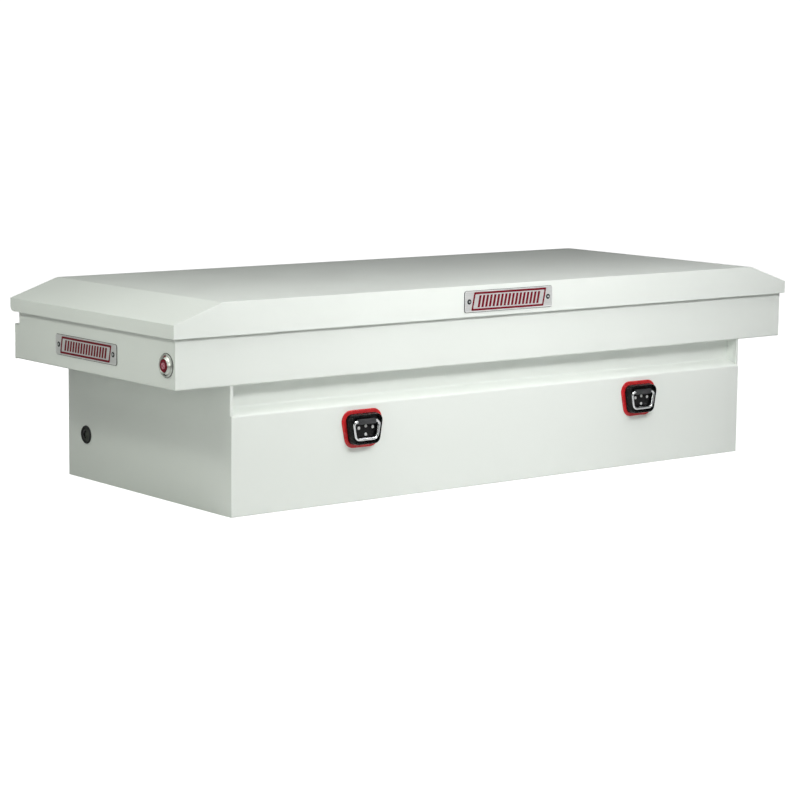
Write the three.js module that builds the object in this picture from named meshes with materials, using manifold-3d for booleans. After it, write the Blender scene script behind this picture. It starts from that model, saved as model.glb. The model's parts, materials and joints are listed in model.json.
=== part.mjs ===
// Crossover truck tool box with one rear-hinged lid, in millimetres.
// X runs across the truck, -Y faces the cargo bed, +Z is up; the origin is the middle of the tub's underside.
import * as THREE from "three";
import { mergeVertices } from "three/addons/utils/BufferGeometryUtils.js";
import Module from "manifold-3d";

// ---------------------------------------------------------------- driving dimensions
const SHEET = 2;
const THIN_SHEET = 1.5;
const GAP = 0.3;
const RUNNING_GAP = 0.3;
const SHAFT_GAP = 0.6;

const LID = {
  halfLength: 911,
  halfDepth: 334.35,
  top: 459.5,
  bottom: 389,
  slopeStart: 418.7,
  slopeRun: 121.7,
  rearFlangeFront: 314,
};
const BAND = { halfLength: 901.5, front: -325.4, back: 331, bottom: 281.1, rim: 400, rimWidth: 25 };
const TUB = { halfLength: 761.2, front: -325.4, back: 334, joggleBottom: 278 };
const CHANNEL = { back: -287.4, wallBottom: 229, ledgeBottom: 216, endSetback: 7 };
const STEP = { floor: 361, front: 311 };
const FLANGE = { floor: 15, lap: 22 };

const SEAL = { halfLength: 897, front: -321, back: 307, width: 16, top: 411, cornerRadius: 12 };
const FRAME = {
  bottom: 411.5,
  frontOuter: -322,
  frontInner: -299.5,
  rearInner: 290,
  rearOuter: 308,
  endOuter: 898,
  endInner: 878,
  endFront: -298.5,
  endRear: 288.5,
};
const STIFFENER = { halfLength: 780, height: 20, crownHalfWidth: 30, footHalfWidth: 48 };

const HINGE = {
  y: 316.8,
  z: 383,
  halfLength: 884,
  knuckles: 13,
  knuckleGap: 0.6,
  barrelRadius: 5.5,
  boreRadius: 2.8,
  pinRadius: 2.5,
  leaf: 2,
  bodyLeafBottom: 363.5,
  lidLeafBack: 331.5,
  leafClearance: 6.5,
};

const STRIKER = { x: 850, halfWidth: 20, windowHalfWidth: 12, bottom: 372, top: 434, back: -295, thickness: 4 };
const STRIKER_WINDOW = { bottom: 378, top: 402 };

const HOOK = {
  y: -272,
  z: 352,
  halfThickness: 3,
  camRadius: 14,
  notchRadius: 11,
  throatRadius: 38.4,
  backRadius: 45,
  pinRadius: 4,
  openAngle: 24,
};
const HOOK_DEGREES = { backStart: 101.5, tip: 137.5, throatEnd: 121.8, armFoot: 156, notchFrom: 350, notchTo: 372 };
const HOOK_ARM_JOIN_DEGREES = 440;

const ROD = { y: -258, z: 331, radius: 4, halfLength: 862 };
const PAWL = {
  halfThickness: 3,
  hubRadius: 9,
  tailFront: -297,
  tailBottom: 330,
  tailTop: 334.5,
  padFront: -295,
  padBack: -291,
  padBottom: 328.6,
  armBack: -250,
  armFront: -255.5,
  toothTip: -257.3,
  toothBottom: 348,
  armTop: 356,
};

const HOUSING = { sideInner: 4, sheet: 2.5, front: -286, back: -243, top: 368 };
const GUIDE = { halfLength: 15, radius: 8, baseFront: -312 };

const LOCK = { y: -293, z: 331 };
const END_HOLE_RADIUS = 16.5;
const BEZEL = { flangeRadius: 25, flange: 4.7, crown: 22, tubeRadius: 16, boreRadius: 14.2, tubeEnd: 878 };
const LOCK_NUT = { radius: 23, boreRadius: 16.3, thickness: 6 };
const BUTTON = {
  radius: 13.6,
  face: 910.5,
  edge: 1.5,
  back: 880,
  plugBoreRadius: 7.3,
  plugDepth: 21,
  stemHalfHeight: 6,
  stemHalfWidth: 5,
  wedgeStart: 862,
  wedgeEnd: 850,
};
const PLUG = { radius: 7, inner: 891, keySlotHalfHeight: 4, keySlotHalfWidth: 0.9, keySlotDepth: 14 };

const SPRING = {
  x: 735,
  tubePivotY: 280,
  tubePivotZ: 240,
  lidPivotY: 190,
  lidPivotZ: 385,
  tubeStart: 12,
  tubeEnd: 137,
  tubeRadius: 9,
  tubeBore: 7,
  tubeFloor: 17,
  glandStart: 129,
  rodRadius: 4,
  rodBore: 4.3,
  pistonRadius: 6.5,
  pistonStart: 19,
  pistonEnd: 27,
  eyeRadius: 8,
  eyeHalfWidth: 6,
  eyeBore: 4.3,
  neckRadius: 5,
};
const STUD = { radius: 4, headRadius: 6.5, headThickness: 3 };
const BODY_BRACKET = { halfWidth: 24, halfHeight: 20, thickness: 3, bossRadius: 8 };
const LID_BRACKET = {
  plateOuter: 750,
  plateInner: 747,
  studEnd: 741.6,
  flangeInner: 718,
  halfWidth: 16,
  drop: 12,
  flange: 2.5,
};

const POD = { x: 417, z: 162 };
const POD_FLANGE = { topHalf: 60.5, bottomHalf: 43, halfHeight: 42, radius: 24, thickness: 3 };
const POD_BODY = { topHalf: 45, bottomHalf: 35, halfHeight: 33, radius: 15, depth: 18 };
const POD_TAPER = { x: 1.07, z: 1.03 };
const POD_RECESS = { topHalf: 43, bottomHalf: 33, halfHeight: 30.5, radius: 12.5, depth: 9 };
const RETAINER = { halfLength: 24, halfHeight: 5.8, thickness: 10.6, boreRadius: 4.1 };
const D_RING = {
  radius: 3.7,
  pivotRise: 17.5,
  endHalf: 17,
  topHalf: 36.3,
  bottomHalf: 29,
  drop: 39.5,
  cornerRadius: 11,
  standOff: 3.4,
  samples: 36,
  sides: 8,
};

const PLATE = { thickness: 2.6, radius: 5 };
const LID_PLATE = { x: -5, z: 423.5, halfWidth: 131, halfHeight: 23.8 };
const END_PLATE = { y: 23.5, z: 332.5, halfWidth: 125, halfHeight: 22 };

const GROMMET = {
  y: 256,
  z: 103,
  holeRadius: 16,
  rimRadius: 21,
  rim: 3.5,
  neckRadius: 15.6,
  dishRadius: 12,
  dishDepth: 3,
  barbRadius: 18,
  barb: 2.5,
};

const ROUND = 20;
const SMALL_ROUND = 12;
const FAR = 2000; // reach of cutting blocks past the box

// ---------------------------------------------------------------- solids
const wasm = await Module();
wasm.setup();

function toSolid(geometry) {
  const bare = geometry.clone();
  bare.deleteAttribute("normal");
  bare.deleteAttribute("uv");
  const merged = mergeVertices(bare);
  const mesh = new wasm.Mesh({
    numProp: 3,
    vertProperties: new Float32Array(merged.attributes.position.array),
    triVerts: new Uint32Array(merged.index.array),
  });
  return new wasm.Manifold(mesh);
}

function toGeometry(solid) {
  const mesh = solid.getMesh();
  const geometry = new THREE.BufferGeometry();
  geometry.setAttribute("position", new THREE.BufferAttribute(mesh.vertProperties, 3));
  geometry.setIndex(new THREE.BufferAttribute(mesh.triVerts, 1));
  return geometry;
}

function unite(first, ...others) {
  return toGeometry(others.reduce((sum, other) => sum.add(toSolid(other)), toSolid(first)));
}

function cut(base, ...tools) {
  return toGeometry(tools.reduce((rest, tool) => rest.subtract(toSolid(tool)), toSolid(base)));
}

function common(a, b) {
  return toGeometry(toSolid(a).intersect(toSolid(b)));
}

// ---------------------------------------------------------------- shapes
function block([x0, x1], [y0, y1], [z0, z1]) {
  const box = new THREE.BoxGeometry(Math.abs(x1 - x0), Math.abs(y1 - y0), Math.abs(z1 - z0));
  return box.translate((x0 + x1) / 2, (y0 + y1) / 2, (z0 + z1) / 2);
}

function polygon(points) {
  return new THREE.Shape(points.map(([a, b]) => new THREE.Vector2(a, b)));
}

function basis(geometry, x, y, z) {
  const vectors = [x, y, z].map((v) => new THREE.Vector3(...v));
  return geometry.applyMatrix4(new THREE.Matrix4().makeBasis(...vectors));
}

// A (y, z) outline carried from x0 to x1.
function alongX(shape, x0, x1, curveSegments = 6) {
  const flat = new THREE.ExtrudeGeometry(shape, { depth: x1 - x0, bevelEnabled: false, curveSegments });
  return basis(flat, [0, 1, 0], [0, 0, 1], [1, 0, 0]).translate(x0, 0, 0);
}

// An (x, z) outline carried from y0 to y1.
function alongY(shape, y0, y1, curveSegments = 6) {
  const flat = new THREE.ExtrudeGeometry(shape, { depth: y1 - y0, bevelEnabled: false, curveSegments });
  return basis(flat, [1, 0, 0], [0, 0, 1], [0, -1, 0]).translate(0, y1, 0);
}

// An (x, y) outline carried from z0 to z1.
function alongZ(shape, z0, z1, curveSegments = 6) {
  const flat = new THREE.ExtrudeGeometry(shape, { depth: z1 - z0, bevelEnabled: false, curveSegments });
  return flat.translate(0, 0, z0);
}

function rodX(radius, x0, x1, y, z, sides = ROUND) {
  const bar = new THREE.CylinderGeometry(radius, radius, x1 - x0, sides);
  return bar.rotateZ(-Math.PI / 2).translate((x0 + x1) / 2, y, z);
}

// A turned piece about an axis parallel to X; the profile lists [x, radius] and runs round the section.
function turnedX(profile, y, z, sides = ROUND) {
  const points = profile.map(([x, radius]) => new THREE.Vector2(radius, x));
  const area = points.reduce((sum, p, i) => sum + p.cross(points[(i + 1) % points.length]), 0);
  if (area < 0) points.reverse();
  const turned = new THREE.LatheGeometry([...points, points[0].clone()], sides);
  return basis(turned, [0, 1, 0], [1, 0, 0], [0, 0, -1]).translate(0, y, z);
}

// A sheet bent along a path: the path is the outer face, and the sheet lies on the path's left.
function bentSheet(path, thickness) {
  const sides = path.slice(1).map(([a, b], i) => {
    const along = new THREE.Vector2(a - path[i][0], b - path[i][1]).normalize();
    return new THREE.Vector2(-along.y, along.x);
  });
  const inner = path.map(([a, b], i) => {
    const before = sides[Math.max(i - 1, 0)];
    const after = sides[Math.min(i, sides.length - 1)];
    const step = before.clone().add(after).multiplyScalar(thickness / (1 + before.dot(after)));
    return [a + step.x, b + step.y];
  });
  return polygon([...path, ...inner.reverse()]);
}

function roundedPolygon(corners, radius) {
  const shape = new THREE.Shape();
  const points = corners.map(([a, b]) => new THREE.Vector2(a, b));
  points.forEach((corner, i) => {
    const before = points[(i + points.length - 1) % points.length];
    const after = points[(i + 1) % points.length];
    const start = corner.clone().add(before.clone().sub(corner).setLength(radius));
    const end = corner.clone().add(after.clone().sub(corner).setLength(radius));
    if (i === 0) shape.moveTo(start.x, start.y);
    else shape.lineTo(start.x, start.y);
    shape.quadraticCurveTo(corner.x, corner.y, end.x, end.y);
  });
  shape.closePath();
  return shape;
}

function roundedRectangle(a, b, halfWidth, halfHeight, radius) {
  const corners = [
    [a - halfWidth, b - halfHeight],
    [a + halfWidth, b - halfHeight],
    [a + halfWidth, b + halfHeight],
    [a - halfWidth, b + halfHeight],
  ];
  return roundedPolygon(corners, radius);
}

function trapezoid({ topHalf, bottomHalf, halfHeight, radius }) {
  const corners = [
    [-bottomHalf, -halfHeight],
    [bottomHalf, -halfHeight],
    [topHalf, halfHeight],
    [-topHalf, halfHeight],
  ];
  return roundedPolygon(corners, radius);
}

function arcPoints(radius, fromDegrees, toDegrees, steps) {
  return Array.from({ length: steps + 1 }, (_, i) => {
    const angle = THREE.MathUtils.degToRad(fromDegrees + ((toDegrees - fromDegrees) * i) / steps);
    return [radius * Math.cos(angle), radius * Math.sin(angle)];
  });
}

// ---------------------------------------------------------------- finishes
const FINISH = {
  white: { color: 0xe9efe9, roughness: 0.45, metalness: 0 },
  inner: { color: 0xdde3dd, roughness: 0.55, metalness: 0 },
  rubber: { color: 0x151515, roughness: 0.85, metalness: 0 },
  steel: { color: 0xa9acae, roughness: 0.35, metalness: 1 },
  blackSteel: { color: 0x1c1c1e, roughness: 0.4, metalness: 0.6 },
  chrome: { color: 0xe6e6e6, roughness: 0.12, metalness: 1 },
  red: { color: 0xc8202c, roughness: 0.4, metalness: 0 },
  black: { color: 0x17171a, roughness: 0.5, metalness: 0 },
  grey: { color: 0x3a3b3e, roughness: 0.45, metalness: 0 },
  plate: { color: 0xc9cbc9, roughness: 0.3, metalness: 1 },
};

const toolBox = new THREE.Group();
const leftSide = new THREE.Group();
const rightSide = new THREE.Group();
rightSide.scale.x = -1;
toolBox.add(leftSide, rightSide);

function add(name, geometry, finish, parent = toolBox) {
  const mesh = new THREE.Mesh(geometry, new THREE.MeshStandardMaterial(FINISH[finish]));
  mesh.name = name;
  parent.add(mesh);
  return mesh;
}

// Adds a piece drawn for the left end (-X) and its mirror image at the right end.
// A piece drawn about its own pivot also gets the pivot's place and a turn about X.
function addPair(name, geometry, finish, pivot = [0, 0, 0], turn = 0) {
  const pair = [add("left_" + name, geometry, finish, leftSide), add("right_" + name, geometry, finish, rightSide)];
  pair.forEach((mesh) => {
    mesh.position.set(...pivot);
    mesh.rotation.x = turn;
  });
}

// ---------------------------------------------------------------- body shell
const TUB_INNER = TUB.halfLength - SHEET;
const PANEL_HALF = TUB_INNER - GAP;
const INNER_FRONT = BAND.front + SHEET + GAP;
const INNER_BACK = BAND.back - SHEET - GAP;
const CHANNEL_INNER = CHANNEL.back + SHEET;
const SHELF = BAND.bottom + SHEET + GAP;

function outsideTub(y, z) {
  return [
    block([-FAR, -PANEL_HALF], y, z),
    block([PANEL_HALF, FAR], y, z),
  ];
}

const frontPath = [
  [BAND.front + BAND.rimWidth, BAND.rim],
  [BAND.front, BAND.rim],
  [BAND.front, BAND.bottom],
  [CHANNEL.back, BAND.bottom],
  [CHANNEL.back, CHANNEL.wallBottom],
  [TUB.front, CHANNEL.ledgeBottom],
  [TUB.front, 0],
];
const frontBlank = alongX(bentSheet(frontPath, SHEET), -BAND.halfLength, BAND.halfLength);
const frontPanel = cut(
  frontBlank,
  ...outsideTub([-FAR, FAR], [-FAR, BAND.bottom]),
  ...outsideTub([BAND.front + SHEET, 0], [-FAR, SHELF]),
);
add("front_panel", frontPanel, "white");

const backPath = [
  [TUB.back, 0],
  [TUB.back, TUB.joggleBottom],
  [BAND.back, BAND.bottom],
  [BAND.back, STEP.floor],
  [STEP.front, STEP.floor],
  [STEP.front, BAND.rim],
  [STEP.front - BAND.rimWidth, BAND.rim],
];
const backBlank = alongX(bentSheet(backPath, SHEET), -BAND.halfLength, BAND.halfLength);
add("back_panel", cut(backBlank, ...outsideTub([-FAR, FAR], [-FAR, BAND.bottom])), "white");

const panX = [-PANEL_HALF, PANEL_HALF];
const panY = [TUB.front + SHEET + GAP, TUB.back - SHEET - GAP];
const panWell = block([panX[0] + SHEET, panX[1] - SHEET], [panY[0] + SHEET, panY[1] - SHEET], [SHEET, FAR]);
add("floor_pan", cut(block(panX, panY, [0, FLANGE.floor]), panWell), "white");

const endOutline = polygon([
  [TUB.front, 0],
  [TUB.back, 0],
  [TUB.back, TUB.joggleBottom],
  [BAND.back, BAND.bottom - GAP],
  [TUB.front + CHANNEL.endSetback, BAND.bottom - GAP],
  [TUB.front + CHANNEL.endSetback, CHANNEL.ledgeBottom],
  [TUB.front, CHANNEL.ledgeBottom],
]);
const endHole = rodX(GROMMET.holeRadius, -TUB.halfLength - SHEET, -TUB_INNER + SHEET, GROMMET.y, GROMMET.z);
const endWall = alongX(endOutline, -TUB.halfLength, -TUB_INNER);
const lapY = [CHANNEL_INNER + GAP, INNER_BACK];
const endNeck = block([-TUB.halfLength, -TUB_INNER], lapY, [BAND.bottom - SHEET, SHELF]);
const endLap = block([-TUB.halfLength - FLANGE.lap, -TUB_INNER], lapY, [SHELF, SHELF + SHEET]);
addPair("end_panel", cut(unite(endWall, endNeck, endLap), endHole), "white");

const wingPath = [
  [-BAND.halfLength + BAND.rimWidth, BAND.rim],
  [-BAND.halfLength, BAND.rim],
  [-BAND.halfLength, BAND.bottom],
  [-TUB.halfLength - GAP, BAND.bottom],
];
const rimCut = BAND.rim - SHEET - GAP;
const lockHoleX = [-BAND.halfLength - SHEET, -BAND.halfLength + 2 * SHEET];
const wing = cut(
  alongY(bentSheet(wingPath, SHEET), INNER_FRONT, INNER_BACK),
  block([-FAR, 0], [-FAR, BAND.front + BAND.rimWidth + GAP], [rimCut, FAR]),
  block([-FAR, 0], [STEP.front - BAND.rimWidth - GAP, FAR], [rimCut, FAR]),
  block([-FAR, 0], [STEP.front - SHEET - GAP, FAR], [STEP.floor - SHEET - GAP, FAR]),
  rodX(END_HOLE_RADIUS, ...lockHoleX, LOCK.y, LOCK.z),
);
addPair("wing", wing, "white");

function rounded(halfLength, front, back, radius) {
  return roundedRectangle(0, (front + back) / 2, halfLength, (back - front) / 2, radius);
}
const sealOuter = rounded(SEAL.halfLength, SEAL.front, SEAL.back, SEAL.cornerRadius);
const sealInner = rounded(
  SEAL.halfLength - SEAL.width,
  SEAL.front + SEAL.width,
  SEAL.back - SEAL.width,
  SEAL.cornerRadius / 2,
);
const sealBase = alongZ(sealOuter, BAND.rim + GAP, SEAL.top);
add("weather_seal", cut(sealBase, alongZ(sealInner, BAND.rim, SEAL.top + SHEET)), "rubber");

// ---------------------------------------------------------------- lid
function lidProfile(inset) {
  const slope = Math.atan2(LID.top - LID.slopeStart, LID.slopeRun);
  const half = LID.halfLength - inset;
  const shoulder = LID.slopeStart - inset * (1 / Math.cos(slope) - Math.tan(slope));
  const top = LID.top - inset;
  const topHalf = half - (top - shoulder) / Math.tan(slope);
  return { half, shoulder, top, topHalf };
}

function lidPrism(inset, bottom) {
  const { half, shoulder, top, topHalf } = lidProfile(inset);
  const outline = polygon([
    [-half, bottom],
    [half, bottom],
    [half, shoulder],
    [topHalf, top],
    [-topHalf, top],
    [-half, shoulder],
  ]);
  return alongY(outline, -LID.halfDepth + inset, LID.halfDepth - inset);
}
const lidFlange = block(
  [-LID.halfLength + SHEET, LID.halfLength - SHEET],
  [LID.rearFlangeFront, LID.halfDepth - SHEET / 2],
  [LID.bottom, LID.bottom + SHEET],
);
add("lid_shell", unite(cut(lidPrism(0, LID.bottom), lidPrism(SHEET, 0)), lidFlange), "white");

// Open-topped channels that follow the underside of the lid.
const lidRoom = lidPrism(SHEET + GAP, LID.bottom);
function lidChannelX(y0, y1) {
  const path = [
    [y0, FAR],
    [y0, FRAME.bottom],
    [y1, FRAME.bottom],
    [y1, FAR],
  ];
  return common(alongX(bentSheet(path, THIN_SHEET), -FRAME.endOuter, FRAME.endOuter), lidRoom);
}
add("lid_front_channel", lidChannelX(FRAME.frontOuter, FRAME.frontInner), "inner");
add("lid_rear_channel", lidChannelX(FRAME.rearInner, FRAME.rearOuter), "inner");

const endChannelPath = [
  [-FRAME.endOuter, FAR],
  [-FRAME.endOuter, FRAME.bottom],
  [-FRAME.endInner, FRAME.bottom],
  [-FRAME.endInner, FAR],
];
const endChannel = alongY(bentSheet(endChannelPath, THIN_SHEET), FRAME.endFront, FRAME.endRear);
addPair("lid_end_channel", common(endChannel, lidRoom), "inner");

const roof = LID.top - SHEET - GAP;
const hatPath = [
  [-STIFFENER.footHalfWidth, roof],
  [-STIFFENER.crownHalfWidth, roof],
  [-STIFFENER.crownHalfWidth, roof - STIFFENER.height],
  [STIFFENER.crownHalfWidth, roof - STIFFENER.height],
  [STIFFENER.crownHalfWidth, roof],
  [STIFFENER.footHalfWidth, roof],
];
const hat = bentSheet(
  hatPath.map(([y, z]) => [y, z - THIN_SHEET]),
  THIN_SHEET,
);
add("lid_stiffener", alongX(hat, -STIFFENER.halfLength, STIFFENER.halfLength), "inner");

// ---------------------------------------------------------------- piano hinge
const hingeStart = -HINGE.halfLength;
const knuckleLength = (2 * HINGE.halfLength) / HINGE.knuckles;

function knuckleRange(i) {
  const start = hingeStart + i * knuckleLength;
  return [start + HINGE.knuckleGap / 2, start + knuckleLength - HINGE.knuckleGap / 2];
}

function hingeLeaf(plate, tongue, firstKnuckle) {
  const pieces = [];
  for (let i = firstKnuckle; i < HINGE.knuckles; i += 2) {
    const [x0, x1] = knuckleRange(i);
    pieces.push(rodX(HINGE.barrelRadius, x0, x1, HINGE.y, HINGE.z, SMALL_ROUND));
    pieces.push(block([x0, x1], ...tongue));
  }
  const bore = rodX(HINGE.boreRadius, -FAR, FAR, HINGE.y, HINGE.z, SMALL_ROUND);
  return cut(unite(block([-HINGE.halfLength, HINGE.halfLength], ...plate), ...pieces), bore);
}

const leafY = [STEP.front + GAP, STEP.front + GAP + HINGE.leaf];
const bodyPlate = [leafY, [HINGE.bodyLeafBottom, HINGE.z - HINGE.leafClearance]];
const bodyTongue = [leafY, [HINGE.bodyLeafBottom, HINGE.z]];
add("hinge_leaf_body", hingeLeaf(bodyPlate, bodyTongue, 0), "white");

const leafZ = [HINGE.z + HINGE.barrelRadius - HINGE.leaf, HINGE.z + HINGE.barrelRadius];
const lidPlate = [[HINGE.y + HINGE.leafClearance, HINGE.lidLeafBack], leafZ];
const lidTongue = [[HINGE.y, HINGE.lidLeafBack], leafZ];
add("hinge_leaf_lid", hingeLeaf(lidPlate, lidTongue, 1), "white");
const pinEnd = HINGE.halfLength - HINGE.knuckleGap;
add("hinge_pin", rodX(HINGE.pinRadius, -pinEnd, pinEnd, HINGE.y, HINGE.z, SMALL_ROUND), "steel");

// ---------------------------------------------------------------- strikers
const strikerX = [-STRIKER.x - STRIKER.halfWidth, -STRIKER.x + STRIKER.halfWidth];
const strikerY = [STRIKER.back - STRIKER.thickness, STRIKER.back];
const windowX = [-STRIKER.x - STRIKER.windowHalfWidth, -STRIKER.x + STRIKER.windowHalfWidth];
const strikerWindow = block(windowX, [-FAR, 0], [STRIKER_WINDOW.bottom, STRIKER_WINDOW.top]);
const strikerPlate = cut(block(strikerX, strikerY, [STRIKER.bottom, STRIKER.top]), strikerWindow);
addPair("striker", common(strikerPlate, lidRoom), "steel");

// ---------------------------------------------------------------- latches
const hookOutline = polygon([
  ...arcPoints(HOOK.backRadius, HOOK_DEGREES.backStart, HOOK_DEGREES.tip, 5),
  ...arcPoints(HOOK.throatRadius, HOOK_DEGREES.tip, HOOK_DEGREES.throatEnd, 4),
  ...arcPoints(HOOK.camRadius, HOOK_DEGREES.armFoot, HOOK_DEGREES.notchFrom, 8),
  ...arcPoints(HOOK.notchRadius, HOOK_DEGREES.notchFrom, HOOK_DEGREES.notchTo, 2),
  ...arcPoints(HOOK.camRadius, HOOK_DEGREES.notchTo, HOOK_ARM_JOIN_DEGREES, 5),
]);
const hookBlank = alongX(hookOutline, -HOOK.halfThickness, HOOK.halfThickness);
const hook = cut(hookBlank, rodX(HOOK.pinRadius + RUNNING_GAP, -FAR, FAR, 0, 0, SMALL_ROUND));
const hookOpen = -THREE.MathUtils.degToRad(HOOK.openAngle);
addPair("latch_hook", hook, "steel", [-STRIKER.x, HOOK.y, HOOK.z], hookOpen);

const pawlX = [-STRIKER.x - PAWL.halfThickness, -STRIKER.x + PAWL.halfThickness];
const tailOutline = polygon([
  [ROD.y, PAWL.tailTop],
  [PAWL.tailFront, PAWL.tailTop],
  [PAWL.tailFront, PAWL.tailBottom],
  [PAWL.padFront, PAWL.tailBottom],
  [PAWL.padFront, PAWL.padBottom],
  [PAWL.padBack, PAWL.padBottom],
  [PAWL.padBack, PAWL.tailBottom],
  [ROD.y, PAWL.tailBottom],
]);
const armOutline = polygon([
  [PAWL.armFront, ROD.z],
  [PAWL.armBack, ROD.z],
  [PAWL.armBack, PAWL.armTop],
  [PAWL.toothTip, PAWL.armTop],
  [PAWL.toothTip, PAWL.toothBottom],
  [PAWL.armFront, PAWL.toothBottom],
]);
const pawl = cut(
  unite(
    rodX(PAWL.hubRadius, ...pawlX, ROD.y, ROD.z),
    alongX(tailOutline, ...pawlX),
    alongX(armOutline, ...pawlX),
  ),
  rodX(ROD.radius + GAP, -FAR, FAR, ROD.y, ROD.z),
);
addPair("pawl", pawl, "steel");
add("cross_rod", rodX(ROD.radius, -ROD.halfLength, ROD.halfLength, ROD.y, ROD.z), "steel");

const housingOuter = HOUSING.sideInner + HOUSING.sheet;
const housingX = [-STRIKER.x - housingOuter, -STRIKER.x + housingOuter];
const housingOutline = roundedPolygon(
  [
    [HOUSING.front, SHELF],
    [HOUSING.back, SHELF],
    [HOUSING.back, HOUSING.top],
    [HOUSING.front, HOUSING.top],
  ],
  HOUSING.sheet,
);
const housingSlot = block(
  [-STRIKER.x - HOUSING.sideInner, -STRIKER.x + HOUSING.sideInner],
  [-FAR, FAR],
  [SHELF + HOUSING.sheet, FAR],
);
const housing = unite(
  cut(
    alongX(housingOutline, ...housingX, 3),
    housingSlot,
    rodX(ROD.radius + SHAFT_GAP, -FAR, FAR, ROD.y, ROD.z),
  ),
  rodX(HOOK.pinRadius, ...housingX, HOOK.y, HOOK.z),
);
addPair("latch_housing", housing, "steel");

const guideX = [-GUIDE.halfLength, GUIDE.halfLength];
const guideFoot = block(guideX, [ROD.y - SHEET, ROD.y + SHEET], [SHELF, ROD.z]);
const guideBase = block(guideX, [GUIDE.baseFront, ROD.y + SHEET], [SHELF, SHELF + SHEET]);
const guide = cut(
  unite(rodX(GUIDE.radius, ...guideX, ROD.y, ROD.z), guideFoot, guideBase),
  rodX(ROD.radius + SHAFT_GAP, -FAR, FAR, ROD.y, ROD.z),
);
add("rod_guide", guide, "steel");

// ---------------------------------------------------------------- locks
const wallOut = -BAND.halfLength - GAP;
const bezel = turnedX(
  [
    [wallOut, BEZEL.flangeRadius],
    [wallOut - BEZEL.flange / 2, BEZEL.flangeRadius],
    [wallOut - BEZEL.flange, BEZEL.crown],
    [wallOut - BEZEL.flange, BEZEL.boreRadius],
    [-BEZEL.tubeEnd, BEZEL.boreRadius],
    [-BEZEL.tubeEnd, BEZEL.tubeRadius],
    [wallOut, BEZEL.tubeRadius],
  ],
  LOCK.y,
  LOCK.z,
);
addPair("lock_bezel", bezel, "chrome");

const wallIn = -BAND.halfLength + SHEET + GAP;
const nutBlank = rodX(LOCK_NUT.radius, wallIn, wallIn + LOCK_NUT.thickness, LOCK.y, LOCK.z, 6);
addPair("lock_nut", cut(nutBlank, rodX(LOCK_NUT.boreRadius, -FAR, 0, LOCK.y, LOCK.z)), "steel");

const cap = turnedX(
  [
    [-BUTTON.face, BUTTON.plugBoreRadius],
    [-BUTTON.face, BUTTON.radius - BUTTON.edge],
    [-BUTTON.face + BUTTON.edge, BUTTON.radius],
    [-BUTTON.back, BUTTON.radius],
    [-BUTTON.back, 0],
    [-BUTTON.face + BUTTON.plugDepth, 0],
    [-BUTTON.face + BUTTON.plugDepth, BUTTON.plugBoreRadius],
  ],
  LOCK.y,
  LOCK.z,
);
const stemOutline = polygon([
  [-BUTTON.back - SHEET, LOCK.z - BUTTON.stemHalfHeight],
  [-BUTTON.wedgeEnd, LOCK.z - BUTTON.stemHalfHeight],
  [-BUTTON.wedgeStart, LOCK.z + BUTTON.stemHalfHeight],
  [-BUTTON.back - SHEET, LOCK.z + BUTTON.stemHalfHeight],
]);
const stem = alongY(stemOutline, LOCK.y - BUTTON.stemHalfWidth, LOCK.y + BUTTON.stemHalfWidth);
addPair("push_button", unite(cap, stem), "red");

const keySlot = block(
  [-FAR, -BUTTON.face + PLUG.keySlotDepth],
  [LOCK.y - PLUG.keySlotHalfWidth, LOCK.y + PLUG.keySlotHalfWidth],
  [LOCK.z - PLUG.keySlotHalfHeight, LOCK.z + PLUG.keySlotHalfHeight],
);
addPair("key_plug", cut(rodX(PLUG.radius, -BUTTON.face, -PLUG.inner, LOCK.y, LOCK.z), keySlot), "chrome");

// ---------------------------------------------------------------- gas springs
const strutY = SPRING.lidPivotY - SPRING.tubePivotY;
const strutZ = SPRING.lidPivotZ - SPRING.tubePivotZ;
const STRUT_LENGTH = Math.hypot(strutY, strutZ);
const STRUT_LEAN = Math.atan2(-strutY, strutZ);

const STRUT_PIVOT = [-SPRING.x, SPRING.tubePivotY, SPRING.tubePivotZ];

// The strut's pieces are drawn upright from the tube's pivot, then leaned towards the lid's pivot.
function uprightTurned(profile) {
  const points = profile.map(([radius, z]) => new THREE.Vector2(radius, z));
  return new THREE.LatheGeometry(points, ROUND).rotateX(Math.PI / 2);
}

function eye(z) {
  const half = SPRING.eyeHalfWidth;
  return rodX(SPRING.eyeRadius, -half, half, 0, z);
}

function eyeBore(z) {
  return rodX(SPRING.eyeBore, -2 * SPRING.eyeHalfWidth, 2 * SPRING.eyeHalfWidth, 0, z);
}

const tube = uprightTurned([
  [0, SPRING.tubeStart],
  [SPRING.tubeRadius, SPRING.tubeStart],
  [SPRING.tubeRadius, SPRING.tubeEnd],
  [SPRING.rodBore, SPRING.tubeEnd],
  [SPRING.rodBore, SPRING.glandStart],
  [SPRING.tubeBore, SPRING.glandStart],
  [SPRING.tubeBore, SPRING.tubeFloor],
  [0, SPRING.tubeFloor],
]);
const tubeNeck = uprightTurned([
  [0, 0],
  [SPRING.neckRadius, 0],
  [SPRING.neckRadius, SPRING.tubeStart + SHEET],
  [0, SPRING.tubeStart + SHEET],
]);
const cylinder = cut(unite(tube, tubeNeck, eye(0)), eyeBore(0));
addPair("gas_cylinder", cylinder, "blackSteel", STRUT_PIVOT, STRUT_LEAN);

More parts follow.
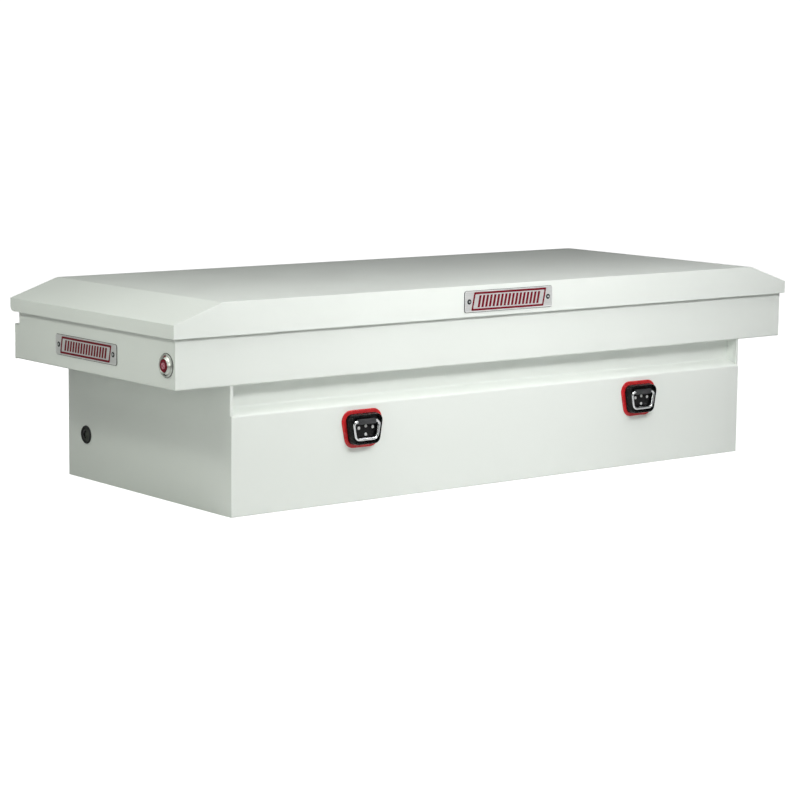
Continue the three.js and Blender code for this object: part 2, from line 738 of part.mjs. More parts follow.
const rodShaft = uprightTurned([
  [0, SPRING.pistonStart],
  [SPRING.pistonRadius, SPRING.pistonStart],
  [SPRING.pistonRadius, SPRING.pistonEnd],
  [SPRING.rodRadius, SPRING.pistonEnd],
  [SPRING.rodRadius, STRUT_LENGTH],
  [0, STRUT_LENGTH],
]);
const gasRod = cut(unite(rodShaft, eye(STRUT_LENGTH)), eyeBore(STRUT_LENGTH));
addPair("gas_rod", gasRod, "steel", STRUT_PIVOT, STRUT_LEAN);

const bracketBack = -TUB_INNER + GAP;
const eyeOuter = -SPRING.x - SPRING.eyeHalfWidth - GAP;
const eyeInner = -SPRING.x + SPRING.eyeHalfWidth + GAP;
const bodyBracket = unite(
  block(
    [bracketBack, bracketBack + BODY_BRACKET.thickness],
    [SPRING.tubePivotY - BODY_BRACKET.halfWidth, SPRING.tubePivotY + BODY_BRACKET.halfWidth],
    [SPRING.tubePivotZ - BODY_BRACKET.halfHeight, SPRING.tubePivotZ + BODY_BRACKET.halfHeight],
  ),
  rodX(BODY_BRACKET.bossRadius, bracketBack, eyeOuter, SPRING.tubePivotY, SPRING.tubePivotZ),
  rodX(STUD.radius, bracketBack, eyeInner + STUD.headThickness, SPRING.tubePivotY, SPRING.tubePivotZ),
  rodX(STUD.headRadius, eyeInner, eyeInner + STUD.headThickness, SPRING.tubePivotY, SPRING.tubePivotZ),
);
addPair("body_bracket", bodyBracket, "steel");

const lidBracketY = [SPRING.lidPivotY - LID_BRACKET.halfWidth, SPRING.lidPivotY + LID_BRACKET.halfWidth];
const lidBracket = unite(
  block(
    [-LID_BRACKET.plateOuter, -LID_BRACKET.plateInner],
    lidBracketY,
    [SPRING.lidPivotZ - LID_BRACKET.drop, roof],
  ),
  block([-LID_BRACKET.plateOuter, -LID_BRACKET.flangeInner], lidBracketY, [roof - LID_BRACKET.flange, roof]),
  rodX(STUD.radius, -LID_BRACKET.plateOuter, -LID_BRACKET.studEnd, SPRING.lidPivotY, SPRING.lidPivotZ),
);
addPair("lid_bracket", lidBracket, "steel");

// ---------------------------------------------------------------- tie-downs
const podFront = TUB.front - GAP - POD_FLANGE.thickness - GAP - POD_BODY.depth;
const podBase = podFront + POD_BODY.depth;
const podX = -POD.x;

const podFlange = alongY(trapezoid(POD_FLANGE), TUB.front - GAP - POD_FLANGE.thickness, TUB.front - GAP);
addPair("pod_flange", podFlange.translate(podX, 0, POD.z), "red");

// The black body widens from its front face back to its base.
const podBody = alongY(trapezoid(POD_BODY), podFront, podBase);
const podPoints = podBody.attributes.position;
for (let i = 0; i < podPoints.count; i += 1) {
  if (podPoints.getY(i) > (podFront + podBase) / 2) {
    podPoints.setX(i, podPoints.getX(i) * POD_TAPER.x);
    podPoints.setZ(i, podPoints.getZ(i) * POD_TAPER.z);
  }
}
const recessOutline = trapezoid(POD_RECESS);
const recess = alongY(recessOutline, podFront - SHEET, podFront + POD_RECESS.depth);
addPair("pod_body", cut(podBody, recess).translate(podX, 0, POD.z), "black");

const ringY = podFront + D_RING.standOff;
const ringZ = POD.z + D_RING.pivotRise;
const recessFloor = podFront + POD_RECESS.depth;
const retainer = cut(
  block(
    [podX - RETAINER.halfLength, podX + RETAINER.halfLength],
    [recessFloor - GAP - RETAINER.thickness, recessFloor - GAP],
    [ringZ - RETAINER.halfHeight, ringZ + RETAINER.halfHeight],
  ),
  rodX(RETAINER.boreRadius, -FAR, FAR, ringY, ringZ, SMALL_ROUND),
);
addPair("ring_retainer", retainer, "grey");

class RingPath extends THREE.Curve {
  constructor(corners, radius) {
    super();
    const outline = new THREE.Path();
    outline.moveTo(...corners[0]);
    corners.slice(1, -1).forEach(([a, b], i) => {
      const corner = new THREE.Vector2(a, b);
      const before = new THREE.Vector2(...corners[i]).sub(corner).setLength(radius).add(corner);
      const after = new THREE.Vector2(...corners[i + 2]).sub(corner).setLength(radius).add(corner);
      outline.lineTo(before.x, before.y);
      outline.quadraticCurveTo(a, b, after.x, after.y);
    });
    outline.lineTo(...corners[corners.length - 1]);
    this.outline = outline;
  }
  getPoint(t, target = new THREE.Vector3()) {
    const { x, y } = this.outline.getPoint(t);
    return target.set(podX + x, ringY, ringZ + y);
  }
}
const ringCorners = [
  [-D_RING.endHalf, 0],
  [-D_RING.topHalf, 0],
  [-D_RING.bottomHalf, -D_RING.drop],
  [D_RING.bottomHalf, -D_RING.drop],
  [D_RING.topHalf, 0],
  [D_RING.endHalf, 0],
];
const ringSection = polygon(arcPoints(D_RING.radius, 0, 360 - 360 / D_RING.sides, D_RING.sides - 1));
const dRing = new THREE.ExtrudeGeometry(ringSection, {
  steps: D_RING.samples,
  extrudePath: new RingPath(ringCorners, D_RING.cornerRadius),
});
addPair("d_ring", dRing, "chrome");

// ---------------------------------------------------------------- trim
const lidPlateOutline = roundedRectangle(
  LID_PLATE.x,
  LID_PLATE.z,
  LID_PLATE.halfWidth,
  LID_PLATE.halfHeight,
  PLATE.radius,
);
const lidPlateBack = -LID.halfDepth - GAP;
add("lid_nameplate", alongY(lidPlateOutline, lidPlateBack - PLATE.thickness, lidPlateBack, 3), "plate");

const endPlateOutline = roundedRectangle(
  END_PLATE.y,
  END_PLATE.z,
  END_PLATE.halfWidth,
  END_PLATE.halfHeight,
  PLATE.radius,
);
addPair("end_nameplate", alongX(endPlateOutline, wallOut - PLATE.thickness, wallOut, 3), "plate");

const plugOut = -TUB.halfLength - GAP;
const plugIn = -TUB_INNER + GAP;
const grommet = turnedX(
  [
    [plugOut - GROMMET.rim + GROMMET.dishDepth, 0],
    [plugOut - GROMMET.rim + GROMMET.dishDepth, GROMMET.dishRadius],
    [plugOut - GROMMET.rim, GROMMET.dishRadius + SHEET],
    [plugOut - GROMMET.rim, GROMMET.rimRadius - SHEET],
    [plugOut, GROMMET.rimRadius],
    [plugOut, GROMMET.neckRadius],
    [plugIn, GROMMET.neckRadius],
    [plugIn, GROMMET.barbRadius],
    [plugIn + GROMMET.barb, GROMMET.neckRadius],
    [plugIn + GROMMET.barb, 0],
  ],
  GROMMET.y,
  GROMMET.z,
);
addPair("grommet", grommet, "rubber");

export default toolBox;
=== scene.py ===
import json
import math

import bmesh
import bpy
from mathutils import Matrix, Vector

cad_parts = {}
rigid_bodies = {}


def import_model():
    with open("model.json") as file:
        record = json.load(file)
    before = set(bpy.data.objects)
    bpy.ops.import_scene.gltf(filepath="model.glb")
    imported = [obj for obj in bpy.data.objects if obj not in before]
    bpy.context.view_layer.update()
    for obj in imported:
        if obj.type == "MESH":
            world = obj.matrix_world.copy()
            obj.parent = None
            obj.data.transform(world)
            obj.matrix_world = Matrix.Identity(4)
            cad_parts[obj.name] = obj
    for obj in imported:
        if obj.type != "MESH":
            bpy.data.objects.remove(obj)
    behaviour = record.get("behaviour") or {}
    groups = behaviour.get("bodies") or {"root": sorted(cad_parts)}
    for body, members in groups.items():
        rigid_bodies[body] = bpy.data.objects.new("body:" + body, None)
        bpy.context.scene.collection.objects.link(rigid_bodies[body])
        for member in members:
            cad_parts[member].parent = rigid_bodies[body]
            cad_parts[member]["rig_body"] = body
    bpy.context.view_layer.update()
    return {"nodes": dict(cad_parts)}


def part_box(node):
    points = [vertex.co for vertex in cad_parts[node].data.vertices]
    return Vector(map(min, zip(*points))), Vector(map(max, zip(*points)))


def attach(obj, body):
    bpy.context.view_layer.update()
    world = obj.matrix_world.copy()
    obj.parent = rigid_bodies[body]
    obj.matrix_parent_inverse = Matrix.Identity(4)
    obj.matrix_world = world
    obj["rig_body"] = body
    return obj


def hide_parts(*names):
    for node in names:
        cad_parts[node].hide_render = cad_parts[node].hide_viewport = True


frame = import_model()

MM = 0.001
SHEET = 2.0
THIN_SHEET = 1.5
GAP = 0.3  # between sheets that lie against each other
SIDES = ("left", "right")


def add_object(name, data):
    made = bpy.data.objects.new(name, data)
    bpy.context.scene.collection.objects.link(made)
    return made


# ---- camera, placed to match the photograph's perspective
LENS = 110.71
SENSOR = 36.0
CAMERA_PLACE = (-3.66507, -4.53160, 0.98510)
CAMERA_TURN = math.radians(38.578)
CAMERA_DIP = math.radians(8.142)
CAMERA_ROLL = math.radians(0.625)


def make_camera():
    data = bpy.data.cameras.new("camera")
    data.lens = LENS
    data.sensor_width = SENSOR
    data.clip_end = 200
    forward = Vector(
        (
            math.sin(CAMERA_TURN) * math.cos(CAMERA_DIP),
            math.cos(CAMERA_TURN) * math.cos(CAMERA_DIP),
            -math.sin(CAMERA_DIP),
        )
    )
    level = Vector((math.cos(CAMERA_TURN), -math.sin(CAMERA_TURN), 0))
    right = level * math.cos(CAMERA_ROLL) + level.cross(forward) * math.sin(CAMERA_ROLL)
    up = right.cross(forward)
    camera = add_object("camera", data)
    turn = Matrix((right, up, -forward)).transposed().to_4x4()
    camera.matrix_world = Matrix.Translation(CAMERA_PLACE) @ turn
    bpy.context.scene.camera = camera


make_camera()


# ---- materials
class Paint:
    """A node material round one Principled shader."""

    def __init__(self, name, **sockets):
        self.material = bpy.data.materials.new(name)
        self.material.use_nodes = True
        self.tree = self.material.node_tree
        self.shader = self.tree.nodes["Principled BSDF"]
        for socket, value in sockets.items():
            self.shader.inputs[socket.replace("_", " ")].default_value = value
        self.place = self.node("ShaderNodeTexCoord").outputs["Object"]

    def node(self, kind, **settings):
        made = self.tree.nodes.new(kind)
        for key, value in settings.items():
            setattr(made, key, value)
        return made

    def link(self, a, b):
        self.tree.links.new(a, b)

    def noise(self, scale, detail=3.0, stretch=(1, 1, 1)):
        mapping = self.node("ShaderNodeMapping")
        mapping.inputs["Scale"].default_value = stretch
        self.link(self.place, mapping.inputs["Vector"])
        noise = self.node("ShaderNodeTexNoise")
        noise.inputs["Scale"].default_value = scale
        noise.inputs["Detail"].default_value = detail
        self.link(mapping.outputs["Vector"], noise.inputs["Vector"])
        return noise.outputs["Fac"]

    def cells(self, scale):
        cells = self.node("ShaderNodeTexVoronoi")
        cells.inputs["Scale"].default_value = scale
        self.link(self.place, cells.inputs["Vector"])
        return cells.outputs["Distance"]

    def colours(self, factor, stops):
        ramp = self.node("ShaderNodeValToRGB")
        elements = ramp.color_ramp.elements
        while len(elements) < len(stops):
            elements.new(0.5)
        for element, (at, colour) in zip(elements, stops):
            element.position = at
            element.color = (*colour, 1)
        self.link(factor, ramp.inputs["Fac"])
        self.link(ramp.outputs["Color"], self.shader.inputs["Base Color"])
        return ramp.outputs["Color"]

    def roughness(self, factor, low, high):
        remap = self.node("ShaderNodeMapRange")
        for end, value in zip(("From Min", "From Max", "To Min", "To Max"), (0.3, 0.7, low, high)):
            remap.inputs[end].default_value = value
        self.link(factor, remap.inputs["Value"])
        self.link(remap.outputs["Result"], self.shader.inputs["Roughness"])

    def bump(self, factor, strength, depth):
        """Adds a bump under the one already there."""
        bump = self.node("ShaderNodeBump")
        bump.inputs["Strength"].default_value = strength
        bump.inputs["Distance"].default_value = depth
        self.link(factor, bump.inputs["Height"])
        before = self.shader.inputs["Normal"].links
        if before:
            self.link(before[0].from_socket, bump.inputs["Normal"])
        self.link(bump.outputs["Normal"], self.shader.inputs["Normal"])


def enamel(name, light, dark, rough=(0.32, 0.44)):
    """Powder coat: a faint cloudiness, orange peel and a long soft waviness of the sheet."""
    paint = Paint(name, Coat_Weight=0.08, Coat_Roughness=0.16, Specular_IOR_Level=0.24)
    cloud = paint.noise(2.3, 4)
    paint.colours(cloud, [(0.32, dark), (0.68, light)])
    paint.roughness(paint.noise(9, 5), *rough)
    paint.bump(paint.noise(3.1, 2), 0.35, 0.0012)
    paint.bump(paint.noise(520, 2), 0.16, 0.00012)
    return paint.material


def surface(name, slot, colour, gloss, grain, ends=(0.3, 0.7), **sockets):
    """A paint for the slot: a colour, a roughness and a fine bump, each with its own noise.

    colour is (scale, detail, dark, light), gloss is (scale, detail, low, high) and grain is
    (scale, detail, strength, depth), where detail 0 stands for a leathery grain of cells.
    """
    paint = Paint(name, **sockets)
    paint.colours(paint.noise(*colour[:2]), list(zip(ends, colour[2:])))
    paint.roughness(paint.noise(*gloss[:2]), *gloss[2:])
    scale, detail, strength, depth = grain
    height = paint.noise(scale, detail) if detail else paint.cells(scale)
    paint.bump(height, strength, depth)
    return paint.material, slot


def zinc():
    """Zinc plate: crystalline patches with a faint yellow and blue cast, fine scratches."""
    paint = Paint("zinc_plate", Metallic=1.0)
    paint.colours(
        paint.noise(55, 6),
        [(0.3, (0.50, 0.50, 0.47)), (0.5, (0.60, 0.61, 0.62)), (0.7, (0.68, 0.69, 0.66))],
    )
    paint.roughness(paint.cells(210), 0.27, 0.46)
    paint.bump(paint.noise(700, 3, (0.15, 1, 1)), 0.25, 0.0001)
    return paint.material


def brushed_aluminium():
    """Satin plate, brushed along its length, with a clear lacquer that whitens it."""
    paint = Paint("brushed_aluminium_plate", Metallic=0.42)
    grain = paint.noise(2600, 3, (0.02, 0.02, 1))
    paint.colours(grain, [(0.3, (0.66, 0.66, 0.655)), (0.7, (0.80, 0.805, 0.80))])
    paint.roughness(grain, 0.30, 0.48)
    paint.bump(grain, 0.18, 0.00008)
    return paint.material


# each paint is its material and the slot that it fills
WHITE = enamel("white_powder_coat", (0.816, 0.850, 0.811), (0.799, 0.834, 0.793)), "white_enamel"
INNER = (
    enamel("inner_powder_coat", (0.735, 0.76, 0.73), (0.70, 0.725, 0.695), (0.4, 0.55)),
    "inner_enamel",
)
ZINC = zinc(), "zinc_steel"
ALUMINIUM = brushed_aluminium(), "plate_aluminium"
RUBBER = surface(
    "black_rubber",
    "rubber",
    (160, 5, (0.012, 0.012, 0.013), (0.034, 0.035, 0.036)),
    (60, 4, 0.62, 0.85),
    (900, 3, 0.4, 0.0002),
    ends=(0.3, 0.72),
)
BLACK_STEEL = surface(
    "black_gloss_enamel",
    "black_enamel",
    (30, 4, (0.010, 0.010, 0.011), (0.022, 0.022, 0.024)),
    (25, 4, 0.22, 0.38),
    (800, 2, 0.15, 0.0001),
)
CHROME = surface(
    "bright_chrome",
    "chrome",
    (40, 4, (0.80, 0.81, 0.83), (0.90, 0.91, 0.92)),
    (130, 5, 0.05, 0.15),
    (420, 2, 0.06, 0.0001),
    Metallic=1.0,
)
# chrome over a finely turned surface
SATIN = surface(
    "satin_chrome",
    "chrome",
    (90, 4, (0.60, 0.62, 0.58), (0.72, 0.74, 0.70)),
    (160, 5, 0.26, 0.40),
    (1100, 2, 0.12, 0.0001),
    Metallic=1.0,
)
BLACK = surface(
    "black_moulded_nylon",
    "black_plastic",
    (60, 5, (0.002, 0.002, 0.0022), (0.006, 0.006, 0.0065)),
    (220, 4, 0.16, 0.34),
    (1100, 0, 0.18, 0.00015),
    Specular_IOR_Level=0.2,
)
GREY = surface(
    "grey_moulded_nylon",
    "grey_plastic",
    (70, 5, (0.030, 0.031, 0.033), (0.052, 0.053, 0.056)),
    (180, 4, 0.30, 0.48),
    (1300, 0, 0.3, 0.00015),
    Specular_IOR_Level=0.4,
)
RED = surface(
    "red_gloss_plastic",
    "red_plastic",
    (45, 4, (0.50, 0.012, 0.020), (0.64, 0.028, 0.028)),
    (70, 4, 0.18, 0.30),
    (900, 2, 0.12, 0.0001),
)
INK = surface(
    "red_enamel_ink",
    "red_plastic",
    (260, 5, (0.13, 0.002, 0.010), (0.21, 0.004, 0.016)),
    (300, 4, 0.35, 0.55),
    (1500, 2, 0.2, 0.00006),
    ends=(0.28, 0.72),
    Specular_IOR_Level=0.2,
)
# the deep red of the lock's button
RUBY = surface(
    "ruby_gloss_plastic",
    "red_plastic",
    (120, 4, (0.14, 0.001, 0.010), (0.22, 0.003, 0.016)),
    (160, 4, 0.16, 0.28),
    (900, 2, 0.1, 0.0001),
    Specular_IOR_Level=0.3,
)
# bright metal tinted rose on the key plug: a painted reflection of the red button round it
ROSE_REFLECTION = surface(
    "rose_painted_reflection_metal",
    "chrome",
    (200, 4, (0.72, 0.26, 0.33), (0.84, 0.36, 0.42)),
    (300, 4, 0.2, 0.34),
    (900, 2, 0.1, 0.00006),
    Metallic=0.7,
)
# the grommet's thin web, paler grey-green than its dark rim: a painted sheen of the light caught in its
# opening
WEB = surface(
    "sheen_painted_rubber_web",
    "rubber",
    (210, 5, (0.030, 0.036, 0.029), (0.066, 0.076, 0.062)),
    (90, 4, 0.5, 0.7),
    (900, 3, 0.3, 0.0002),
)
# the same materials in the slots of the spring's rod and the rubber grommet
STRUT_CHROME = CHROME[0], "zinc_steel"
# the black of the grommet's painted shadow crescent
GROMMET_SHADE = BLACK[0], "rubber"


# ---- mesh helpers, in millimetres
def box_mm(node):
    low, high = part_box(node)
    return low / MM, high / MM


def centre_mm(node):
    low, high = box_mm(node)
    return (low + high) / 2


def arc(before, corner, after, radius, steps):
    """Points of the arc that rounds the corner between two straight runs."""
    towards = (before - corner).normalized()
    away = (after - corner).normalized()
    half = towards.angle(away) / 2
    if half > math.pi / 2 - 0.02:
        return [corner]
    start = corner + towards * (radius / math.tan(half))
    centre = corner + (towards + away).normalized() * (radius / math.sin(half))
    spoke = start - centre
    turn = math.pi - 2 * half
    if towards.x * away.y - towards.y * away.x > 0:
        turn = -turn
    made = []
    for step in range(steps + 1):
        a = turn * step / steps
        x = spoke.x * math.cos(a) - spoke.y * math.sin(a)
        y = spoke.x * math.sin(a) + spoke.y * math.cos(a)
        made.append(centre + Vector((x, y)))
    return made


def rounded_path(corners, radius, steps=5):
    points = [Vector(c) for c in corners]
    radii = radius if isinstance(radius, (list, tuple)) else [radius] * (len(points) - 2)
    made = [points[0]]
    for i, r in enumerate(radii):
        made += arc(points[i], points[i + 1], points[i + 2], r, steps)
    return [*made, points[-1]]


def rounded_loop(corners, radius, steps=6):
    points = [Vector(c) for c in corners]
    count = len(points)
    made = []
    for i in range(count):
        made += arc(points[i - 1], points[i], points[(i + 1) % count], radius, steps)
    return made


def trapezoid_loop(top_half, bottom_half, half_height, radius, steps=6):
    t, b, h = top_half, bottom_half, half_height
    return rounded_loop([(-b, -h), (b, -h), (t, h), (-t, h)], radius, steps)


def rectangle_loop(half_width, half_height, radius, steps=6):
    return trapezoid_loop(half_width, half_width, half_height, radius, steps)


def add_loft(bm, rings, cap_start=False, cap_end=False, closed=True):
    """Quads between rings of the same number of points. A ring of one point closes to it."""
    rows = [[bm.verts.new(p) for p in ring] for ring in rings]
    for one, two in zip(rows, rows[1:]):
        count = max(len(one), len(two))
        for i in range(count if closed else count - 1):
            j = (i + 1) % count
            if len(one) == 1:
                bm.faces.new((one[0], two[j], two[i]))
            elif len(two) == 1:
                bm.faces.new((one[i], one[j], two[0]))
            else:
                bm.faces.new((one[i], one[j], two[j], two[i]))
    if cap_start:
        bm.faces.new(list(reversed(rows[0])))
    if cap_end:
        bm.faces.new(rows[-1])


def axes_of(axis):
    w = Vector(axis).normalized()
    u = Vector((0, 0, 1)).cross(w) if abs(w.z) < 0.9 else Vector((1, 0, 0))
    u.normalize()
    return u, w.cross(u), w


def add_lathe(bm, profile, origin, axis, segments=48):
    """Turns (radius, height) points about an axis through origin. Radius 0 closes the end."""
    u, v, w = axes_of(axis)
    base = Vector(origin)
    rings = []
    for radius, height in profile:
        middle = base + w * height
        if radius < 1e-6:
            rings.append([middle])
            continue
        ring = []
        for i in range(segments):
            a = 2 * math.pi * i / segments
            ring.append(middle + (u * math.cos(a) + v * math.sin(a)) * radius)
        rings.append(ring)
    add_loft(bm, rings)


def add_ring_lathe(bm, profile, origin, axis, segments=48):
    """A closed profile turned into a ring."""
    add_lathe(bm, [*profile, profile[0]], origin, axis, segments)


def add_cross_bar(bm, node, chamfer, segments):
    """The round bar of a CAD node that lies along the box, with chamfered ends."""
    low, high = box_mm(node)
    middle = (low + high) / 2
    r = (high.z - low.z) / 2
    length = high.x - low.x
    end = [(0, 0), (r - chamfer, 0), (r, chamfer)]
    profile = end + [(radius, length - along) for radius, along in reversed(end)]
    add_lathe(bm, profile, (low.x, middle.y, middle.z), (1, 0, 0), segments)


def add_block(bm, low, high, bevel=0.0, segments=2):
    low, high = Vector(low), Vector(high)
    made = bmesh.ops.create_cube(bm, size=1.0)["verts"]
    for vert in made:
        for k in range(3):
            vert.co[k] = low[k] if vert.co[k] < 0 else high[k]
    if bevel:
        edges = {e for v in made for e in v.link_edges}
        bmesh.ops.bevel(
            bm, geom=list(edges), offset=bevel, segments=segments, affect="EDGES", profile=0.5
        )


def add_tube(bm, points, radius, sides=16):
    """A round bar along the points, with domed ends."""
    points = [Vector(p) for p in points]
    last = len(points) - 1
    spread = [2 * math.pi * k / sides for k in range(sides)]
    dome = [(0.6, 0), (0.42, 0.62)]
    rings = []
    side = None

    def add_ring(middle, size):
        rings.append([middle + s * size for s in spokes] if size else [middle])

    for i, point in enumerate(points):
        tangent = (points[min(i + 1, last)] - points[max(i - 1, 0)]).normalized()
        if side is None:
            side = tangent.orthogonal().normalized()
        side = (side - tangent * side.dot(tangent)).normalized()
        over = tangent.cross(side)
        spokes = [side * math.cos(a) + over * math.sin(a) for a in spread]
        if i == 0:
            for out, size in dome:
                add_ring(point - tangent * radius * out, radius * size)
        add_ring(point, radius)
        if i == last:
            for out, size in reversed(dome):
                add_ring(point + tangent * radius * out, radius * size)
    add_loft(bm, rings)


def add_rivet(bm, place, axis, radius, height, hole=0.0):
    """A dome head, with the small hole that a blind rivet's mandrel leaves."""
    brim, steps = 0.12 * height, 6
    profile = [(radius, -0.4), (radius, brim)]
    top = max(hole, radius * 0.12)
    for k in range(1, steps + 1):
        a = k / steps * math.pi / 2
        rise = brim + (height - brim) * math.sin(a)
        profile.append((top + (radius - top) * math.cos(a), rise))
    if hole:
        profile.append((hole * 0.9, height * 0.35))
        profile.append((0, height * 0.35))
    else:
        profile.append((0, height * 1.01))
    add_lathe(bm, profile, place, axis, 20)


def add_hex_bolt(bm, place, axis, across, height):
    """A hex head on its washer."""
    washer = across * 0.78
    add_lathe(bm, [(washer, -0.4), (washer, 0.9), (washer - 0.6, 1.2), (0, 1.2)], place, axis, 28)
    r = across / math.sqrt(3)
    profile = [(r, 1.0), (r, height - 0.7), (r * 0.86, height), (0, height)]
    add_lathe(bm, profile, place, axis, 6)


def add_sheet(bm, path, stations, place, hint, keep=None):
    """Lays the path along the stations as an open skin facing hint, with the faces that keep allows."""
    rows = [[bm.verts.new(place(a, b, s)) for a, b in path] for s in stations]
    faces = []
    for i in range(len(stations) - 1):
        for j in range(len(path) - 1):
            s = (stations[i] + stations[i + 1]) / 2
            a, b = (path[j] + path[j + 1]) / 2
            if keep is None or keep(s, a, b):
                corners = (rows[i][j], rows[i + 1][j], rows[i + 1][j + 1], rows[i][j + 1])
                faces.append(bm.faces.new(corners))
    loose = [v for v in bm.verts if not v.link_faces]
    bmesh.ops.delete(bm, geom=loose, context="VERTS")
    out = Vector(hint)
    lean = 0.0
    for face in faces:
        face.normal_update()
        lean += face.normal.dot(out) * face.calc_area()
    if lean < 0:
        bmesh.ops.reverse_faces(bm, faces=faces)


def on_x(a, b, s):
    return Vector((s, a, b))


def on_y(a, b, s):
    return Vector((a, s, b))


def on_z(a, b, s):
    return Vector((a, b, s))


def piece(name, bm, paint, body, nodes=(), thickness=0.0, bevel=0.0, angle=32):
    """Turns the millimetre mesh into a metre object that rides on its body."""
    if not thickness:
        bmesh.ops.recalc_face_normals(bm, faces=bm.faces)
    bmesh.ops.scale(bm, vec=(MM, MM, MM), verts=bm.verts)
    mesh = bpy.data.meshes.new(name)
    bm.to_mesh(mesh)
    bm.free()
    mesh.shade_smooth()
    if not thickness:
        mesh.set_sharp_from_angle(angle=math.radians(angle))
    material, slot = paint
    mesh.materials.append(material)
    made = add_object(name, mesh)
    if thickness:
        solid = made.modifiers.new("thickness", "SOLIDIFY")
        solid.thickness = thickness * MM
        solid.offset = -1
        solid.use_even_offset = True
    if bevel:
        edge = made.modifiers.new("edges", "BEVEL")
        edge.width = bevel * MM
        edge.segments = 3
        edge.limit_method = "ANGLE"
        edge.angle_limit = math.radians(50)
        edge.miter_outer = "MITER_ARC"
        edge.use_clamp_overlap = True
        edge.harden_normals = True
    if thickness:
        made.modifiers.new("normals", "WEIGHTED_NORMAL").keep_sharp = True
    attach(made, body)
    if nodes:
        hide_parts(*nodes)
    return made


def pair(stem, draw, paint, body, nodes=(), **finish):
    """The left piece as drawn, and its mirror image on the right."""
    for side in SIDES:
        bm = bmesh.new()
        draw(bm)
        if side == "right":
            bmesh.ops.scale(bm, vec=(-1, 1, 1), verts=bm.verts)
            bmesh.ops.reverse_faces(bm, faces=bm.faces)
        names = [f"{side}_{n}" for n in nodes]
        rider = body.replace("SIDE", side)
        piece(f"{side}_{stem}", bm, paint, rider, names, **finish)


def single(name, draw, paint, body, nodes=(), **finish):
    bm = bmesh.new()
    draw(bm)
    return piece(name, bm, paint, body, nodes, **finish)


def refine(node, name, paint, bevel):
    """A CAD node's solid with its sharp edges broken, as a new piece in the node's place."""
    source = frame["nodes"][node]
    bm = bmesh.new()
    bm.from_mesh(source.data)
    bmesh.ops.remove_doubles(bm, verts=bm.verts, dist=2e-6)
    bmesh.ops.dissolve_limit(
        bm, angle_limit=math.radians(0.6), verts=bm.verts, edges=bm.edges
    )
    fold = math.radians(30)
    sharp = [e for e in bm.edges if len(e.link_faces) == 2 and e.calc_face_angle(0) > fold]
    bmesh.ops.bevel(
        bm,
        geom=sharp,
        offset=bevel * MM,
        segments=2,
        profile=0.5,
        affect="EDGES",
        clamp_overlap=True,
    )
    bmesh.ops.scale(bm, vec=(1 / MM,) * 3, verts=bm.verts)
    piece(name, bm, paint, source["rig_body"], [node], angle=34)


def refine_pair(node, name, paint, bevel):
    for side in SIDES:
        refine(f"{side}_{node}", f"{side}_{name}", paint, bevel)


# ---- body shell
front_low, front_high = box_mm("front_panel")
lid_low, lid_high = box_mm("lid_shell")
TUB_HALF = box_mm("right_end_panel")[0].x + SHEET
FRONT = front_low.y
BACK = box_mm("back_panel")[1].y
RIM = front_high.z
BAND_HALF = front_high.x
BAND_BOTTOM = box_mm("left_wing")[0].z
BAND_BACK = BACK - 3.0
CHANNEL_BACK = FRONT + 38.0
CHANNEL_WALL_BOTTOM = 229.0
LEDGE_BOTTOM = 216.0
RIM_WIDTH = 25.0
STEP_FLOOR = 361.0
STEP_FRONT = BAND_BACK - 20.0
BEND = 3.6
TIGHT_BEND = 2.4
CHANNEL_BEND = 5.0
PANEL_HALF = TUB_HALF - SHEET - 0.1
PANEL_STATIONS = [-BAND_HALF, -PANEL_HALF, PANEL_HALF, BAND_HALF]
SHEET_EDGE = 0.7
HEM = 2.2


def sheet_skin(make, name, draw, body, node):
    return make(name, draw, WHITE, body, [node], thickness=SHEET, bevel=SHEET_EDGE)


def above_tub(x, _, z):
    """The long panels reach past the tub's ends only in the band above the wings' floor."""
    return abs(x) < PANEL_HALF or z > BAND_BOTTOM + 0.01


def draw_front(bm):
    path = rounded_path(
        [
            (FRONT + RIM_WIDTH, RIM),
            (FRONT, RIM),
            (FRONT, BAND_BOTTOM),
            (CHANNEL_BACK, BAND_BOTTOM),
            (CHANNEL_BACK, CHANNEL_WALL_BOTTOM),
            (FRONT, LEDGE_BOTTOM),
            (FRONT, 0),
            (FRONT + HEM + 0.05, 0),
        ],
        [BEND, BEND, TIGHT_BEND, CHANNEL_BEND, CHANNEL_BEND, HEM],
    )
    add_sheet(bm, path, PANEL_STATIONS, on_x, (0, -1, 0), above_tub)


sheet_skin(single, "front_skin", draw_front, "body", "front_panel")


def draw_back(bm):
    path = rounded_path(
        [
            (BACK, 0),
            (BACK, BAND_BOTTOM - 3.5),
            (BAND_BACK, BAND_BOTTOM + 0.5),
            (BAND_BACK, STEP_FLOOR),
            (STEP_FRONT, STEP_FLOOR),
            (STEP_FRONT, RIM),
            (STEP_FRONT - RIM_WIDTH, RIM),
        ],
        [1.5, 1.5, BEND, TIGHT_BEND, BEND],
    )
    add_sheet(bm, path, PANEL_STATIONS, on_x, (0, 1, 0), above_tub)


sheet_skin(single, "back_skin", draw_back, "body", "back_panel")

LAP_FRONT = CHANNEL_BACK + SHEET + GAP
LAP = 22.0
NECK_SETBACK = 3.2
NECK_FLARE = 2.0
JOGGLE = 3.1  # how far below the band the end wall stops, where the back panel is set in


